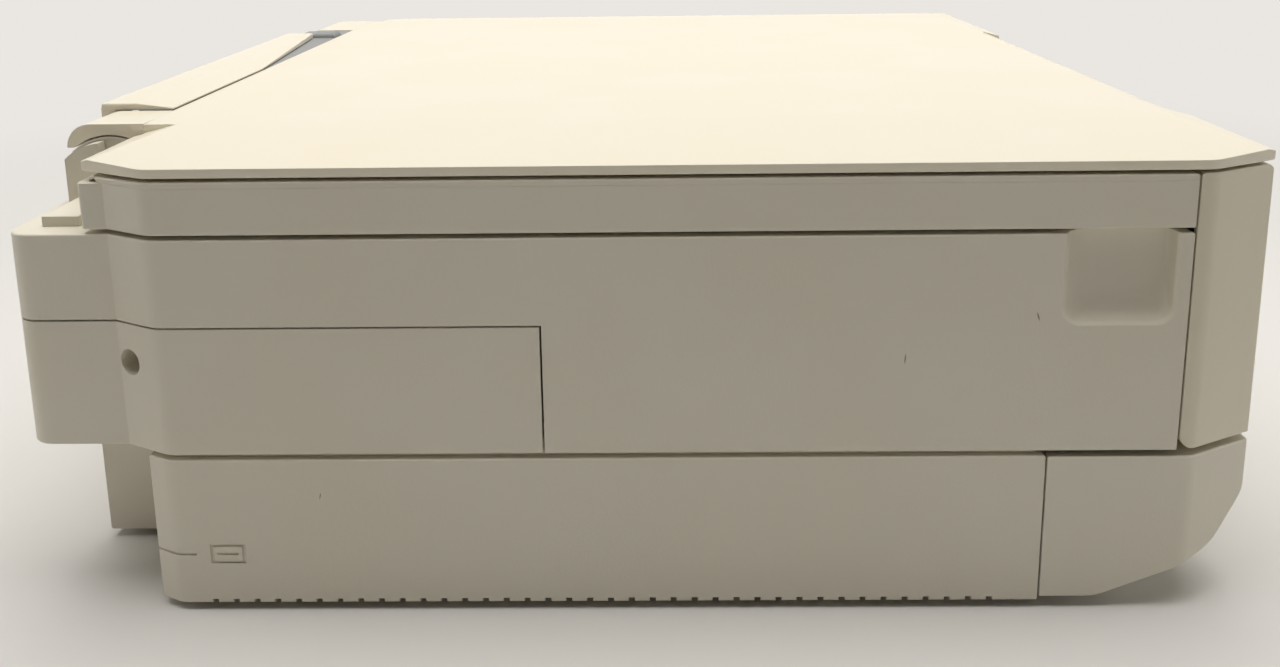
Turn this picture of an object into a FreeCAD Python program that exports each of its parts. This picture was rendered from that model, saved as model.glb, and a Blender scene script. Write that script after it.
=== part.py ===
import FreeCAD, Part
import math
import os

# All-in-one inkjet printer: a flatbed scanner with a document lid over a printing unit with a paper cassette.
# Millimetres. The origin is on the floor under the middle. +X is the printer's right hand side as it faces
# the user, the front is towards -Y, and +Z is up.

# Main outline, seen from above
WIDTH = 446.0
BODY_DEPTH = 360.0
CHAMFER_RUN = 23.0
CHAMFER_REACH = 12.4
CREASE_R = 9.0
TIP_R = 1.5
HUMP_REACH = 25.0
HUMP_INSET = 8.2
HUMP_CORNER_R = 8.5
SCANNER_CORNER_R = 1.5

# Heights of the casings, from the floor up
FOOT_HEIGHT = 2.5
BASE_HEIGHT = 48.9
CASE_SEAM = 1.6
HOUSING_HEIGHT = 68.8
SCANNER_SEAM = 1.4
SCANNER_CASE_HEIGHT = 14.4
BEZEL_HEIGHT = 1.9
LID_SEAM = 1.1
LID_THICKNESS = 2.9
FLAP_RISE = 6.5

# Walls, seams and fits
WALL = 2.5
FLOOR = 2.5
EDGE_R = 0.7
SEAM_LINE = 0.6
SLIDE_GAP = 0.4
RUN_GAP = 0.05
CUT = 1.0

# Lower housing, its feet and vents
BASE_BACK_SETBACK = 15.5
FOOT_R = 9.0
FOOT_INSET = 34.0
VENT_PITCH = 6.6
VENT_WIDTH = 1.9
VENT_HEIGHT = 1.4
VENT_MARGIN = 14.0
BAY_WALL = 2.0
BAY_WALL_DROP = 8.0
LIP_ROOT = 4.0
LIP_RISE = 4.0
MARK_DEPTH = 0.5
MARK_LINE = 1.1
MARK_RUN = 29.0
MARK_HEIGHT = 16.6
SIGN_SIZE = 11.0
SIGN_LINE = 0.9
SIGN_SETBACK = 18.0

# Upper housing and rear lower cover
COVER_REACH = 139.7
COVER_HEIGHT = 41.2
COVER_HOLE_R = 4.2
COVER_HOLE_HEIGHT = 28.4
COVER_HOLE_SETBACK = 4.5
COVER_WELL_DEPTH = 9.0
COVER_WELL_WALL = 1.4
GRIP_LENGTH = 32.2
GRIP_HEIGHT = 27.6
GRIP_DEPTH = 6.0
GRIP_RISE = 9.0
GRIP_FRONT_RUN = 1.5
GRIP_BACK_RUN = 9.0
GRIP_STEPS = 6
GRIP_CORNER_R = 5.0
GRIP_RIM = 1.0
GRIP_FRONT = 4.5
ACCESS_FRONT = 62.0
ACCESS_BACK = 62.0
ACCESS_SIDE = 26.0
TROUGH_DEPTH = 22.0
TROUGH_WALL = 2.5
TROUGH_END_GAP = 1.5
PEDESTAL_LENGTH = 34.0
PEDESTAL_DEPTH = 11.5
PEDESTAL_HEIGHT = 3.2
PEDESTAL_SETBACK = 5.5
LUG_THICKNESS = 5.5
LUG_TOP_R = 18.2

# Scanner unit
SCANNER_HUMP_HALF = 170.0
SCANNER_HUMP_REACH = 22.0
SCANNER_HUMP_R = 19.3
SCANNER_HUMP_HEEL_R = 5.8
HUMP_CORE_WALL = 4.3
SCANNER_PIN_R = 3.0
SCANNER_PIN_DEPTH = 10.0
GLASS_LONG = 310.0
GLASS_WIDE = 226.0
GLASS_SHIFT = -8.0
GLASS_SINK = 0.4
GLASS_LEDGE = 4.0
LEDGE_THICKNESS = 1.6
SCAN_BAR_WIDTH = 20.0
SCAN_BAR_LIFT = 3.3
SCAN_ROD_R = 2.5
SCAN_ROD_LIFT = 6.8

# Document lid, its hinge arms and the rear flap
LID_PIVOT_BACK = 9.0
LID_PIVOT_LIFT = 0.8
LID_REAR_SETBACK = 3.0
LID_CROWN = 4.0
LID_CREST_R = 300.0
LID_SIDE_SLOPE = 55.0
LID_END_SLOPE = 15.0
LID_SKIN = 2.5
LID_HOLLOW_INSET = 6.0
LID_NOTCH_LEFT = -150.0
LID_NOTCH_RIGHT = 92.0
LID_NOTCH_DEPTH = 10.5
LID_NOTCH_R = 4.0
MAT_THICKNESS = 0.7
MAT_MARGIN = 4.0
ARM_INNER_R = 19.8
ARM_BACK = 14.5
ARM_DROP = 15.6
ARM_NOSE_R = 8.0
LEFT_ARM_WIDTH = 26.0
RIGHT_ARM_WIDTH = 51.0
TONGUE_WIDTH = 4.0
TONGUE_DEPTH = 2.6
TRACK_GAP = 0.3
TRACK_START = 135.0
TRACK_END = -40.0
FLAP_THICKNESS = 2.5
FLAP_LIP = 6.0
FLAP_EDGE = 0.6
FLAP_BEVEL = 14.0
FLAP_LENGTH = 225.0
FLAP_END_GAP = 1.5
FLAP_WEDGE_START = 101.0
FLAP_WEDGE_DEPTH = 12.0
FLAP_WEDGE_R = 60.0
FLAP_PIN_R = 1.2
FLAP_PIN_ORBIT = 22.3
FLAP_PIN_TURN = 58.0
FLAP_KNUCKLE_R = 2.3
FLAP_KNUCKLE_LENGTH = 14.0
STRIP_WIDTH = 13.0
STRIP_THICKNESS = 1.6
STRIP_SINK = 0.4
STOP_LENGTH = 14.0
STOP_DEPTH = 12.0
STOP_R = 3.0

# Control panel
PANEL_DEPTH = 27.0
PANEL_SWING_GAP = 0.6
PANEL_LIFT = 0.6
PANEL_TOP_GAP = 0.9
PANEL_PIVOT_INSET = 4.5
PANEL_EDGE_R = 3.2
PANEL_HEEL_R = 4.5
PANEL_BACK_R = 1.5
PANEL_PIN_R = 1.5
BRACKET_INSET = 23.0
BRACKET_WIDTH = 5.0
BRACKET_BOSS_R = 2.6
BRACKET_FOOT = 22.0
BRACKET_SLOT_GAP = 1.0
PIVOT_RIB = 3.0
PANEL_BACK_GAP = 3.0
PANEL_BACK_THICKNESS = 2.0
DISPLAY_WIDTH = 92.0
DISPLAY_HEIGHT = 50.0
DISPLAY_THICKNESS = 1.8
DISPLAY_LIFT = 26.0
DISPLAY_LEDGE = 3.0
BUTTON_R = 6.0
BUTTON_SINK = 0.3
BUTTON_FLANGE = 1.5
BUTTON_FLANGE_THICKNESS = 1.2
BUTTON_LIFT = 40.0
POWER_BUTTON_INSET = 73.0
HOME_BUTTON_GAP = 46.0
START_BUTTON_INSET = 69.0
START_STOP_PITCH = 34.0

# Front bezel with the paper exit
BEZEL_PLATE = 3.0
EXIT_MOUTH_HEIGHT = 32.0
EXIT_MOUTH_MARGIN = 6.0

# Paper cassette
SHEET_WIDTH = 216.0
CASSETTE_DEPTH = 66.5
CASSETTE_LIFT = 1.5
CASSETTE_TOP_GAP = 0.4
CHIN_FLAT = 49.5
CHIN_KNEE_BACK = 11.5
CHIN_KNEE_LIFT = 15.0
CHIN_TOP_LIFT = 30.0
CHIN_R = 26.0
TRAY_FRONT_SETBACK = 32.5
TRAY_BACK_GAP = 9.5
TRAY_LIFT = 11.5
TRAY_WALL = 2.0
TRAY_SIDE_ROOM = 12.0
TRAY_DEPTH = 30.0
RUNNER_WIDTH = 4.0
GUIDE_THICKNESS = 2.0
GUIDE_HEIGHT = 13.0
GUIDE_LENGTH = 100.0
GUIDE_FOOT = 26.0
GUIDE_FOOT_THICKNESS = 1.5
LENGTH_GUIDE_WIDTH = 30.0
PHOTO_TRAY_LENGTH = 170.0
PHOTO_TRAY_DEPTH = 11.0
PHOTO_LEDGE = 3.0
OUTPUT_LENGTH = 245.0
OUTPUT_THICKNESS = 2.0
OUTPUT_LIP = 4.0

# Duplex unit at the back
DUPLEX_SIDE_SETBACK = 46.0
DUPLEX_DEPTH = 34.7
DUPLEX_LIFT = 0.5
DUPLEX_HEEL_R = 0.8
DUPLEX_ROLLER_R = 9.0
DUPLEX_SHAFT_R = 3.0
DUPLEX_GUIDE_GAP = 8.0
DUPLEX_GUIDE_THICKNESS = 2.0
TONGUE_REACH = 12.0
TONGUE_HALF_SPAN = 150.0
TONGUE_SIZE = 10.0
TONGUE_HEIGHT = 6.0

# Printing unit
SIDE_BAY = 34.0
SHEET_STEEL = 1.5
FRAME_R = 24.0
FRAME_FRONT = 22.0
FRAME_BACK = 58.0
FRAME_TOP_GAP = 6.0
FEED_SETBACK = 125.5
PAPER_LIFT = 15.0
FEED_R = 5.5
EXIT_R = 6.0
SHAFT_R = 3.0
BUSH_R = 6.5
BUSH_FLANGE_R = 8.0
BUSH_LENGTH = 3.0
SLEEVE_LENGTH = 18.0
SLEEVE_PITCH = 48.0
PINCH_R = 4.0
PINCH_SHAFT_R = 1.5
PINCH_GAP = 0.2
PINCH_LENGTH = 30.0
PINCH_PITCH = 48.0
HOLDER_DEPTH = 10.0
HOLDER_HEIGHT = 6.0
EAR_THICKNESS = 4.0
PLATEN_THICKNESS = 8.0
PLATEN_RIB = 2.0
PLATEN_RIB_WIDTH = 2.0
PLATEN_RIB_PITCH = 18.0
PLATEN_GAP = 3.0
CAP_HEIGHT = 3.5
CAP_HALF = 26.0
STAR_BAR_HEIGHT = 4.0
STAR_BAR_DEPTH = 15.0
STAR_R = 4.0
STAR_THICKNESS = 1.5

# Gear train outside the left side frame
MODULE = 1.0
PRESSURE_ANGLE = 25.0
BACKLASH = 0.16
ADDENDUM = 0.9
DEDENDUM = 1.25
FEED_TEETH = 32
IDLER_TEETH = 45
PINION_TEETH = 14
GEAR_FACE = 5.0
GEAR_STANDOFF = 1.0
PINION_DIRECTION = -40.0
FEED_MOTOR_R = 13.0
FEED_MOTOR_LENGTH = 36.0
MOTOR_SHAFT_R = 1.5
MOTOR_SHAFT_GRIP = 10.0

# Carriage and its drive
CARRIAGE_WIDTH = 84.0
CARRIAGE_FRONT = 17.0
CARRIAGE_BACK = 15.0
CARRIAGE_LIFT = 10.0
CARRIAGE_HEIGHT = 30.0
CARRIAGE_END_GAP = 3.5
CARRIAGE_WALL = 2.0
HEAD_HALF = 28.0
HEAD_DEPTH = 30.0
HEAD_GAP = 2.3
INK_COUNT = 6
INK_GAP = 1.0
INK_HEIGHT = 26.0
CARRIAGE_COVER = 2.0
RAIL_SETBACK = 11.0
RAIL_DEPTH = 12.0
RAIL_HEIGHT = 26.0
RAIL_LIFT = 18.0
PULLEY_R = 6.0
PULLEY_FLANGE_R = 8.2
PULLEY_WIDTH = 6.0
PULLEY_FLANGE = 0.6
PULLEY_STANDOFF = 2.0
PULLEY_INSET = 14.0
BELT_THICKNESS = 1.2
BELT_GAP = 0.3
CLAMP_WIDTH = 20.0
CLAMP_HEIGHT = 8.0
CARRIAGE_MOTOR_R = 11.0
CARRIAGE_MOTOR_LENGTH = 30.0
SHOE_THICKNESS = 2.0

# Electrics in the lower housing
BOARD_THICKNESS = 1.6
BOARD_STANDOFF = 6.5
BOARD_FRONT = 30.0
BOARD_BACK = 42.0
BOARD_HEIGHT = 40.0
SUPPLY_GAP = 2.0
SUPPLY_FRONT = 18.0
SUPPLY_LENGTH = 180.0
SUPPLY_HEIGHT = 40.0
SOCKET_SIDE = 5.0
SOCKET_DEPTH = 15.0
DATA_SOCKET = (12.0, 11.0)
POWER_SOCKET = (20.0, 15.0)
SOCKET_WALL = 1.4
SOCKET_MOUTH = 8.0

# Levels and stations worked out from the sizes above
HALF = WIDTH / 2
CHAMFER_TURN = math.atan2(CHAMFER_REACH, CHAMFER_RUN)
DEPTH = BODY_DEPTH + HUMP_REACH
Y_FRONT = -DEPTH / 2
Y_BODY = Y_FRONT + BODY_DEPTH
Y_BACK = DEPTH / 2
HUMP_HALF = HALF - HUMP_INSET
Z_BASE = FOOT_HEIGHT
Z_FLOOR = Z_BASE + FLOOR
Z_BASE_TOP = Z_BASE + BASE_HEIGHT
Z_CASE = Z_BASE_TOP + CASE_SEAM
Z_CASE_TOP = Z_CASE + HOUSING_HEIGHT
Z_SCAN = Z_CASE_TOP + SCANNER_SEAM
Z_BEZEL = Z_SCAN + SCANNER_CASE_HEIGHT
Z_SCAN_TOP = Z_BEZEL + BEZEL_HEIGHT
Z_LID = Z_SCAN_TOP + LID_SEAM
Z_LID_TOP = Z_LID + LID_THICKNESS
Z_CROWN = Z_LID_TOP + LID_CROWN
Z_FLAP_TOP = Z_LID_TOP + FLAP_RISE
Y_PANEL_BACK = Y_FRONT + PANEL_DEPTH
Y_CASE_FRONT = Y_PANEL_BACK + PANEL_SWING_GAP
Y_CASSETTE_BACK = Y_FRONT + CASSETTE_DEPTH
Y_BASE_FRONT = Y_CASSETTE_BACK + SEAM_LINE
Y_BASE_BACK = Y_BODY - BASE_BACK_SETBACK
Y_COVER = Y_BODY - COVER_REACH
Z_COVER_TOP = Z_CASE + COVER_HEIGHT
FRAME_OUT = HALF - SIDE_BAY
FRAME_IN = FRAME_OUT - SHEET_STEEL
PAPER_HALF = SHEET_WIDTH / 2
Z_PAPER = Z_CASE + PAPER_LIFT
Z_ROLLER = Z_PAPER - FEED_R
Y_FEED = Y_BODY - FEED_SETBACK
FEED_GEAR_R = MODULE * FEED_TEETH / 2
IDLER_GEAR_R = MODULE * IDLER_TEETH / 2
PINION_R = MODULE * PINION_TEETH / 2
Y_IDLER = Y_FEED - FEED_GEAR_R - IDLER_GEAR_R
Y_EXIT = Y_IDLER - IDLER_GEAR_R - FEED_GEAR_R
Y_PINION = Y_FEED + (FEED_GEAR_R + PINION_R) * math.cos(math.radians(PINION_DIRECTION))
Z_PINION = Z_ROLLER + (FEED_GEAR_R + PINION_R) * math.sin(math.radians(PINION_DIRECTION))
TRAY_IN_HALF = PAPER_HALF + TRAY_SIDE_ROOM
TRAY_HALF = TRAY_IN_HALF + TRAY_WALL
BAY_HALF = TRAY_HALF + 2 * SLIDE_GAP


def block(x, y, z):
    """Box between three (low, high) pairs."""
    return Part.makeBox(x[1] - x[0], y[1] - y[0], z[1] - z[0], FreeCAD.Vector(x[0], y[0], z[0]))


def rod_x(x, y, z, radius):
    """Round bar along X between the two values of x."""
    return Part.makeCylinder(radius, x[1] - x[0], FreeCAD.Vector(x[0], y, z), FreeCAD.Vector(1, 0, 0))


def rod_y(x, y, z, radius):
    """Round bar along Y between the two values of y."""
    return Part.makeCylinder(radius, y[1] - y[0], FreeCAD.Vector(x, y[0], z), FreeCAD.Vector(0, 1, 0))


def rod_z(x, y, z, radius):
    """Round bar along Z between the two values of z."""
    return Part.makeCylinder(radius, z[1] - z[0], FreeCAD.Vector(x, y, z[0]), FreeCAD.Vector(0, 0, 1))


def across(half, reach):
    """The (low, high) pair from half minus reach to half."""
    return (half - reach, half)


def both_ways(half):
    """The (low, high) pair that is the same on both sides of the middle."""
    return (-half, half)


def mirrored(shape):
    """The same shape on the other side of the middle plane."""
    return shape.mirror(FreeCAD.Vector(0, 0, 0), FreeCAD.Vector(1, 0, 0))


def pair(shape):
    """A shape and its mirror image, as one group of separate solids."""
    return Part.makeCompound([shape, mirrored(shape)])


def join(shapes):
    """One solid from touching or overlapping ones."""
    return shapes[0].fuse(shapes[1:]).removeSplitter()


def rounded_face(corners, place):
    """Face of a polygon of (a, b, radius) corners, where place turns a and b into a point in space."""
    edges = []
    last_end = None
    first_start = None
    count = len(corners)
    for index in range(count):
        a, b, radius = corners[index]
        before = corners[index - 1]
        after = corners[(index + 1) % count]
        to_before = FreeCAD.Vector(before[0] - a, before[1] - b, 0).normalize()
        to_after = FreeCAD.Vector(after[0] - a, after[1] - b, 0).normalize()
        corner = FreeCAD.Vector(a, b, 0)
        half_angle = to_before.getAngle(to_after) / 2
        reach = radius / math.tan(half_angle)
        start = corner + to_before * reach
        end = corner + to_after * reach
        if last_end is not None:
            edges.append(Part.LineSegment(place(last_end), place(start)).toShape())
        else:
            first_start = start
        if radius > 0:
            inward = (to_before + to_after).normalize()
            middle = corner + inward * (radius / math.sin(half_angle) - radius)
            edges.append(Part.Arc(place(start), place(middle), place(end)).toShape())
        last_end = end
    edges.append(Part.LineSegment(place(last_end), place(first_start)).toShape())
    return Part.Face(Part.Wire(Part.__sortEdges__(edges)))


def plan_prism(corners, z):
    """Upright block over a rounded outline of (x, y, radius) corners."""
    face = rounded_face(corners, lambda p: FreeCAD.Vector(p.x, p.y, z[0]))
    return face.extrude(FreeCAD.Vector(0, 0, z[1] - z[0]))


def side_prism(corners, x):
    """Bar along X with a rounded section of (y, z, radius) corners."""
    face = rounded_face(corners, lambda p: FreeCAD.Vector(x[0], p.x, p.y))
    return face.extrude(FreeCAD.Vector(x[1] - x[0], 0, 0))


def front_prism(corners, y):
    """Bar along Y with a rounded section of (x, z, radius) corners."""
    face = rounded_face(corners, lambda p: FreeCAD.Vector(p.x, y[0], p.y))
    return face.extrude(FreeCAD.Vector(0, y[1] - y[0], 0))


def soften(shape, levels, radius):
    """Round the level edges of a block that lie at the given heights."""
    edges = []
    for edge in shape.Edges:
        box = edge.BoundBox
        if box.ZLength < 1e-6 and any(abs(box.ZMin - level) < 1e-6 for level in levels):
            edges.append(edge)
    return shape.makeFillet(radius, edges)


def body_plan(inset, z, y=None):
    """The main outline as a block, drawn in by inset and cut to the y pair."""
    side = HALF - inset
    front = Y_FRONT + inset
    back = Y_BODY - inset
    run = CHAMFER_RUN - inset * (1 - math.tan(CHAMFER_TURN / 2))
    tip_x = side - CHAMFER_REACH + inset * (1 - math.tan((math.pi / 2 - CHAMFER_TURN) / 2))
    crease = max(CREASE_R - inset, 0)
    tip = max(TIP_R - inset, 0)
    half = [(tip_x, front, tip), (side, front + run, crease), (side, back - run, crease), (tip_x, back, tip)]
    other_half = [(-x, corner_y, radius) for x, corner_y, radius in reversed(half)]
    solid = plan_prism(half + other_half, z)
    if y is None:
        return solid
    return solid.common(block(both_ways(WIDTH), y, z))


def housing_plan(inset, z, front):
    """Outline of the upper housing: the main outline behind front, with the rear hump."""
    side = HUMP_HALF - inset
    back = Y_BACK - inset
    radius = HUMP_CORNER_R - inset
    start = Y_BODY - CHAMFER_RUN - CUT
    corners = [(-side, start, 0), (side, start, 0), (side, back, radius), (-side, back, radius)]
    return join([body_plan(inset, z, (front, Y_BACK)), plan_prism(corners, z)])


def ring_x(x, y, z, inner, outer):
    """Tube along X."""
    return rod_x(x, y, z, outer).cut(rod_x((x[0] - CUT, x[1] + CUT), y, z, inner))


def gear(teeth, phase, x, y, z, bore):
    """Spur gear about an X axis, with one tooth centred at the angle phase, in degrees."""
    pitch_r = MODULE * teeth / 2
    base_r = pitch_r * math.cos(math.radians(PRESSURE_ANGLE))
    tip_r = pitch_r + MODULE * ADDENDUM
    root_r = pitch_r - MODULE * DEDENDUM
    start_r = max(base_r, root_r + MODULE * 0.1)
    at_pitch = math.sqrt((pitch_r / base_r) ** 2 - 1)
    half_tooth = math.pi / (2 * teeth) - BACKLASH / (2 * pitch_r)
    flank = []
    steps = 3
    for step in range(steps + 1):
        radius = start_r + (tip_r - start_r) * step / steps
        roll = math.sqrt(max((radius / base_r) ** 2 - 1, 0))
        turned = (roll - math.atan(roll)) - (at_pitch - math.atan(at_pitch))
        flank.append((radius, half_tooth - turned))
    outline = [(root_r, flank[0][1] + 0.1 / teeth)]
    outline += flank
    points = []
    for tooth in range(teeth):
        centre = math.radians(phase) + 2 * math.pi * tooth / teeth
        for radius, angle in outline:
            points.append((radius, centre - angle))
        for radius, angle in reversed(outline):
            points.append((radius, centre + angle))
    corners = [FreeCAD.Vector(x[0], y + r * math.cos(a), z + r * math.sin(a)) for r, a in points]
    face = Part.Face(Part.makePolygon(corners + corners[:1]))
    solid = face.extrude(FreeCAD.Vector(x[1] - x[0], 0, 0))
    return solid.cut(rod_x((x[0] - CUT, x[1] + CUT), y, z, bore))


def mesh_phase(teeth, phase, other_teeth, direction):
    """Phase of a gear that meshes with another, which lies at the given direction from it, in degrees."""
    lead = phase - direction
    return direction + 180 + 180 / other_teeth - lead * teeth / other_teeth


nodes = {}


# Lower housing: a deep tray with a cassette bay in the middle, open at the front, and vents along its foot.
# A lip along each side stands inside the upper housing's wall and locates it.
def lower_housing():
    reach = (Y_BASE_FRONT, Y_BASE_BACK)
    height = (Z_BASE, Z_BASE_TOP)
    outer = soften(body_plan(0, height, reach), [Z_BASE, Z_BASE_TOP], EDGE_R)
    inside = (Y_BASE_FRONT + WALL, Y_BASE_BACK - WALL)
    shell = outer.cut(body_plan(WALL, (Z_FLOOR, Z_BASE_TOP + CUT), inside))
    bay_wall = block((BAY_HALF, BAY_HALF + BAY_WALL), inside, (Z_FLOOR, Z_BASE_TOP - BAY_WALL_DROP))
    lip_z = (Z_BASE_TOP - LIP_ROOT, Z_CASE + LIP_RISE)
    lip = body_plan(WALL, lip_z, inside).cut(body_plan(2 * WALL, lip_z))
    lip = lip.common(block((FRAME_OUT, HALF), inside, lip_z))
    shell = join([shell, bay_wall, mirrored(bay_wall), lip, mirrored(lip)])
    tall = (Z_FLOOR, Z_BASE_TOP + CUT)
    cuts = [block(both_ways(BAY_HALF), (Y_BASE_FRONT - CUT, Y_BASE_FRONT + WALL + CUT), tall)]
    cuts.append(block(both_ways(BAY_HALF), (Y_BASE_BACK - WALL - CUT, Y_BASE_BACK + CUT), tall))
    cuts += vent_cuts() + socket_cuts() + tongue_cuts() + mark_cuts()
    return shell.cut(cuts)


def vent_cuts():
    start = Y_BASE_FRONT + VENT_MARGIN
    end = Y_BASE_BACK - VENT_MARGIN
    count = int((end - start) / VENT_PITCH)
    cuts = []
    for index in range(count + 1):
        y = start + index * VENT_PITCH
        side = across(HALF + CUT, WALL + CUT)
        notch = block(side, (y, y + VENT_WIDTH), (Z_BASE - CUT, Z_BASE + VENT_HEIGHT))
        cuts += [notch, mirrored(notch)]
    return cuts


def socket_place(size, side):
    """Where a socket sits against the rear wall: its x, y and z pairs."""
    middle = side * (FRAME_OUT + SOCKET_SIDE + size[0] / 2)
    x = (middle - size[0] / 2, middle + size[0] / 2)
    return x, (Y_BASE_BACK - SOCKET_DEPTH, Y_BASE_BACK), (Z_FLOOR, Z_FLOOR + size[1])


def socket_cuts():
    cuts = []
    for size, side in ((DATA_SOCKET, -1), (POWER_SOCKET, 1)):
        x, y, z = socket_place(size, side)
        wide = (x[0] - RUN_GAP, x[1] + RUN_GAP)
        cuts.append(block(wide, (y[1] - WALL - CUT, y[1] + CUT), (z[0], z[1] + RUN_GAP)))
    return cuts


def tongue_place():
    """Where the duplex unit's left tongue goes through the rear wall."""
    x = (TONGUE_HALF_SPAN - TONGUE_SIZE / 2, TONGUE_HALF_SPAN + TONGUE_SIZE / 2)
    middle = (Z_BASE + Z_BASE_TOP) / 2
    return x, (middle - TONGUE_HEIGHT / 2, middle + TONGUE_HEIGHT / 2)


def tongue_cuts():
    x, z = tongue_place()
    wide = (x[0] - SLIDE_GAP, x[1] + SLIDE_GAP)
    tall = (z[0] - SLIDE_GAP, z[1] + SLIDE_GAP)
    slot = block(wide, (Y_BASE_BACK - WALL - CUT, Y_BASE_BACK + CUT), tall)
    return [slot, mirrored(slot)]


# Engraved line and plain socket sign at the rear of the left side.
def mark_cuts():
    z = Z_BASE + MARK_HEIGHT
    ring = body_plan(-CUT, (z, z + MARK_LINE)).cut(body_plan(MARK_DEPTH, (z, z + MARK_LINE)))
    line = ring.common(block((-HALF - CUT, -FRAME_OUT), (Y_BODY - MARK_RUN, Y_BODY), (z, z + MARK_LINE)))
    x = (-HALF - CUT, -HALF + MARK_DEPTH)
    back = Y_BASE_BACK - SIGN_SETBACK
    front = back - SIGN_SIZE
    low = z - SIGN_SIZE / 4
    high = low + SIGN_SIZE * 0.6
    frame = block(x, (front, back), (low, high))
    frame = frame.cut(block(x, (front + SIGN_LINE, back - SIGN_LINE), (low + SIGN_LINE, high - SIGN_LINE)))
    middle = (low + high) / 2
    inner = (front + 2.5 * SIGN_LINE, back - 2.5 * SIGN_LINE)
    bar = block(x, inner, (middle - SIGN_LINE / 2, middle + SIGN_LINE / 2))
    return [line, frame, bar]


nodes["lower_housing"] = lower_housing()


# Four rubber feet under the corners of the lower housing.
def rubber_feet():
    solids = []
    for x in both_ways(HALF - FOOT_INSET):
        for y in (Y_BASE_FRONT + FOOT_INSET, Y_BASE_BACK - FOOT_INSET):
            solids.append(soften(rod_z(x, y, (0, Z_BASE), FOOT_R), [0], EDGE_R))
    return Part.makeCompound(solids)


nodes["rubber_feet"] = rubber_feet()


# Upper housing and rear lower cover: one thin shell, parted along a seam behind the middle.
def housing_shell():
    height = (Z_CASE, Z_CASE_TOP)
    outer = soften(housing_plan(0, height, Y_CASE_FRONT), [Z_CASE, Z_CASE_TOP], EDGE_R)
    hollow = housing_plan(WALL, (Z_CASE - CUT, Z_CASE_TOP - WALL), Y_CASE_FRONT - CUT)
    access_x = both_ways(HALF - ACCESS_SIDE)
    access_y = (Y_CASE_FRONT + ACCESS_FRONT, Y_BODY - ACCESS_BACK)
    access = block(access_x, access_y, (Z_CASE_TOP - WALL - CUT, Z_CASE_TOP + CUT))
    return outer.cut([hollow, access])


def grip_place():
    front = Y_CASE_FRONT + GRIP_FRONT
    return (front, front + GRIP_LENGTH), (Z_CASE_TOP - GRIP_HEIGHT, Z_CASE_TOP)


def grip_ring(x, turn, room):
    """Outline at x of a side grip's scoop, larger by room, where its wall has turned from the rim."""
    y, z = grip_place()
    inward = 1 - math.cos(turn)
    front = y[0] - room + GRIP_FRONT_RUN * inward
    back = y[1] + room - GRIP_BACK_RUN * inward
    low = z[0] - room + GRIP_RISE * inward
    radius = GRIP_CORNER_R + room
    top = Z_CASE_TOP + CUT
    corners = [(front, low, radius), (back, low, radius), (back, top, 0), (front, top, 0)]
    return rounded_face(corners, lambda p: FreeCAD.Vector(x, p.x, p.y)).OuterWire


def grip_block(room, outer, top):
    """Block in the shape of a side grip's scoop, larger by room, out to x = outer and up to z = top."""
    y, z = grip_place()
    rings = []
    for step in range(GRIP_STEPS + 1):
        turn = math.radians(90) * step / GRIP_STEPS
        rings.append(grip_ring(HALF - (GRIP_DEPTH + room) * math.sin(turn), turn, room))
    keep = block((0, outer), (y[0] - room, y[1] + room), (z[0] - room, top))
    return Part.makeLoft(rings, True, False).common(keep)


def grip_flare():
    """The rounded-off rim of a side grip, as a frame that widens towards the outside."""
    inside = grip_ring(HALF - GRIP_RIM, math.asin(GRIP_RIM / GRIP_DEPTH), 0)
    outside = grip_ring(HALF + CUT, 0, GRIP_RIM + CUT)
    return Part.makeLoft([inside, outside], True, True)


def trough_place(room):
    half = SCANNER_HUMP_HALF + TROUGH_END_GAP + room
    front = Y_BODY + LID_PIVOT_BACK + 2 * EDGE_R - room
    return both_ways(half), (front, Y_BACK + CUT), (Z_CASE_TOP - TROUGH_DEPTH - room, Z_CASE_TOP + CUT)


def upper_housing():
    shell = housing_shell()
    grip_wall = grip_block(WALL, HALF - EDGE_R, Z_CASE_TOP - WALL / 2)
    x, y, z = trough_place(TROUGH_WALL)
    trough_wall = block(x, (y[0], Y_BACK - WALL / 2), (z[0], Z_CASE_TOP - WALL / 2))
    shell = join([shell, grip_wall, mirrored(grip_wall), trough_wall])
    grip = join([grip_block(0, HALF + CUT, Z_CASE_TOP + CUT), grip_flare()])
    below = block(both_ways(WIDTH), (Y_COVER, Y_BACK + CUT), (Z_CASE - CUT, Z_COVER_TOP + SEAM_LINE / 2))
    return shell.cut([grip, mirrored(grip), block(*trough_place(0)), below])


def rear_lower_cover():
    keep_y = (Y_COVER + SEAM_LINE, Y_BACK + CUT)
    keep = block(both_ways(WIDTH), keep_y, (Z_CASE - CUT, Z_COVER_TOP - SEAM_LINE / 2))
    outward = FreeCAD.Vector(math.cos(CHAMFER_TURN), math.sin(CHAMFER_TURN), 0)
    along = FreeCAD.Vector(-math.sin(CHAMFER_TURN), math.cos(CHAMFER_TURN), 0)
    at_hump = Y_BODY - CHAMFER_RUN + HUMP_INSET / math.tan(CHAMFER_TURN)
    middle = FreeCAD.Vector(HUMP_HALF, at_hump, Z_CASE + COVER_HOLE_HEIGHT) - along * COVER_HOLE_SETBACK
    bottom = middle - outward * COVER_WELL_DEPTH
    hole = Part.makeCylinder(COVER_HOLE_R, COVER_WELL_DEPTH + CUT, bottom, outward)
    well_r = COVER_HOLE_R + COVER_WELL_WALL
    well_depth = COVER_WELL_DEPTH + COVER_WELL_WALL - WALL / 2
    well = Part.makeCylinder(well_r, well_depth, bottom - outward * COVER_WELL_WALL, outward)
    cover = join([housing_shell().common(keep), well, mirrored(well)])
    return cover.cut([hole, mirrored(hole)])


nodes["upper_housing"] = upper_housing()
nodes["rear_lower_cover"] = rear_lower_cover()


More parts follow.
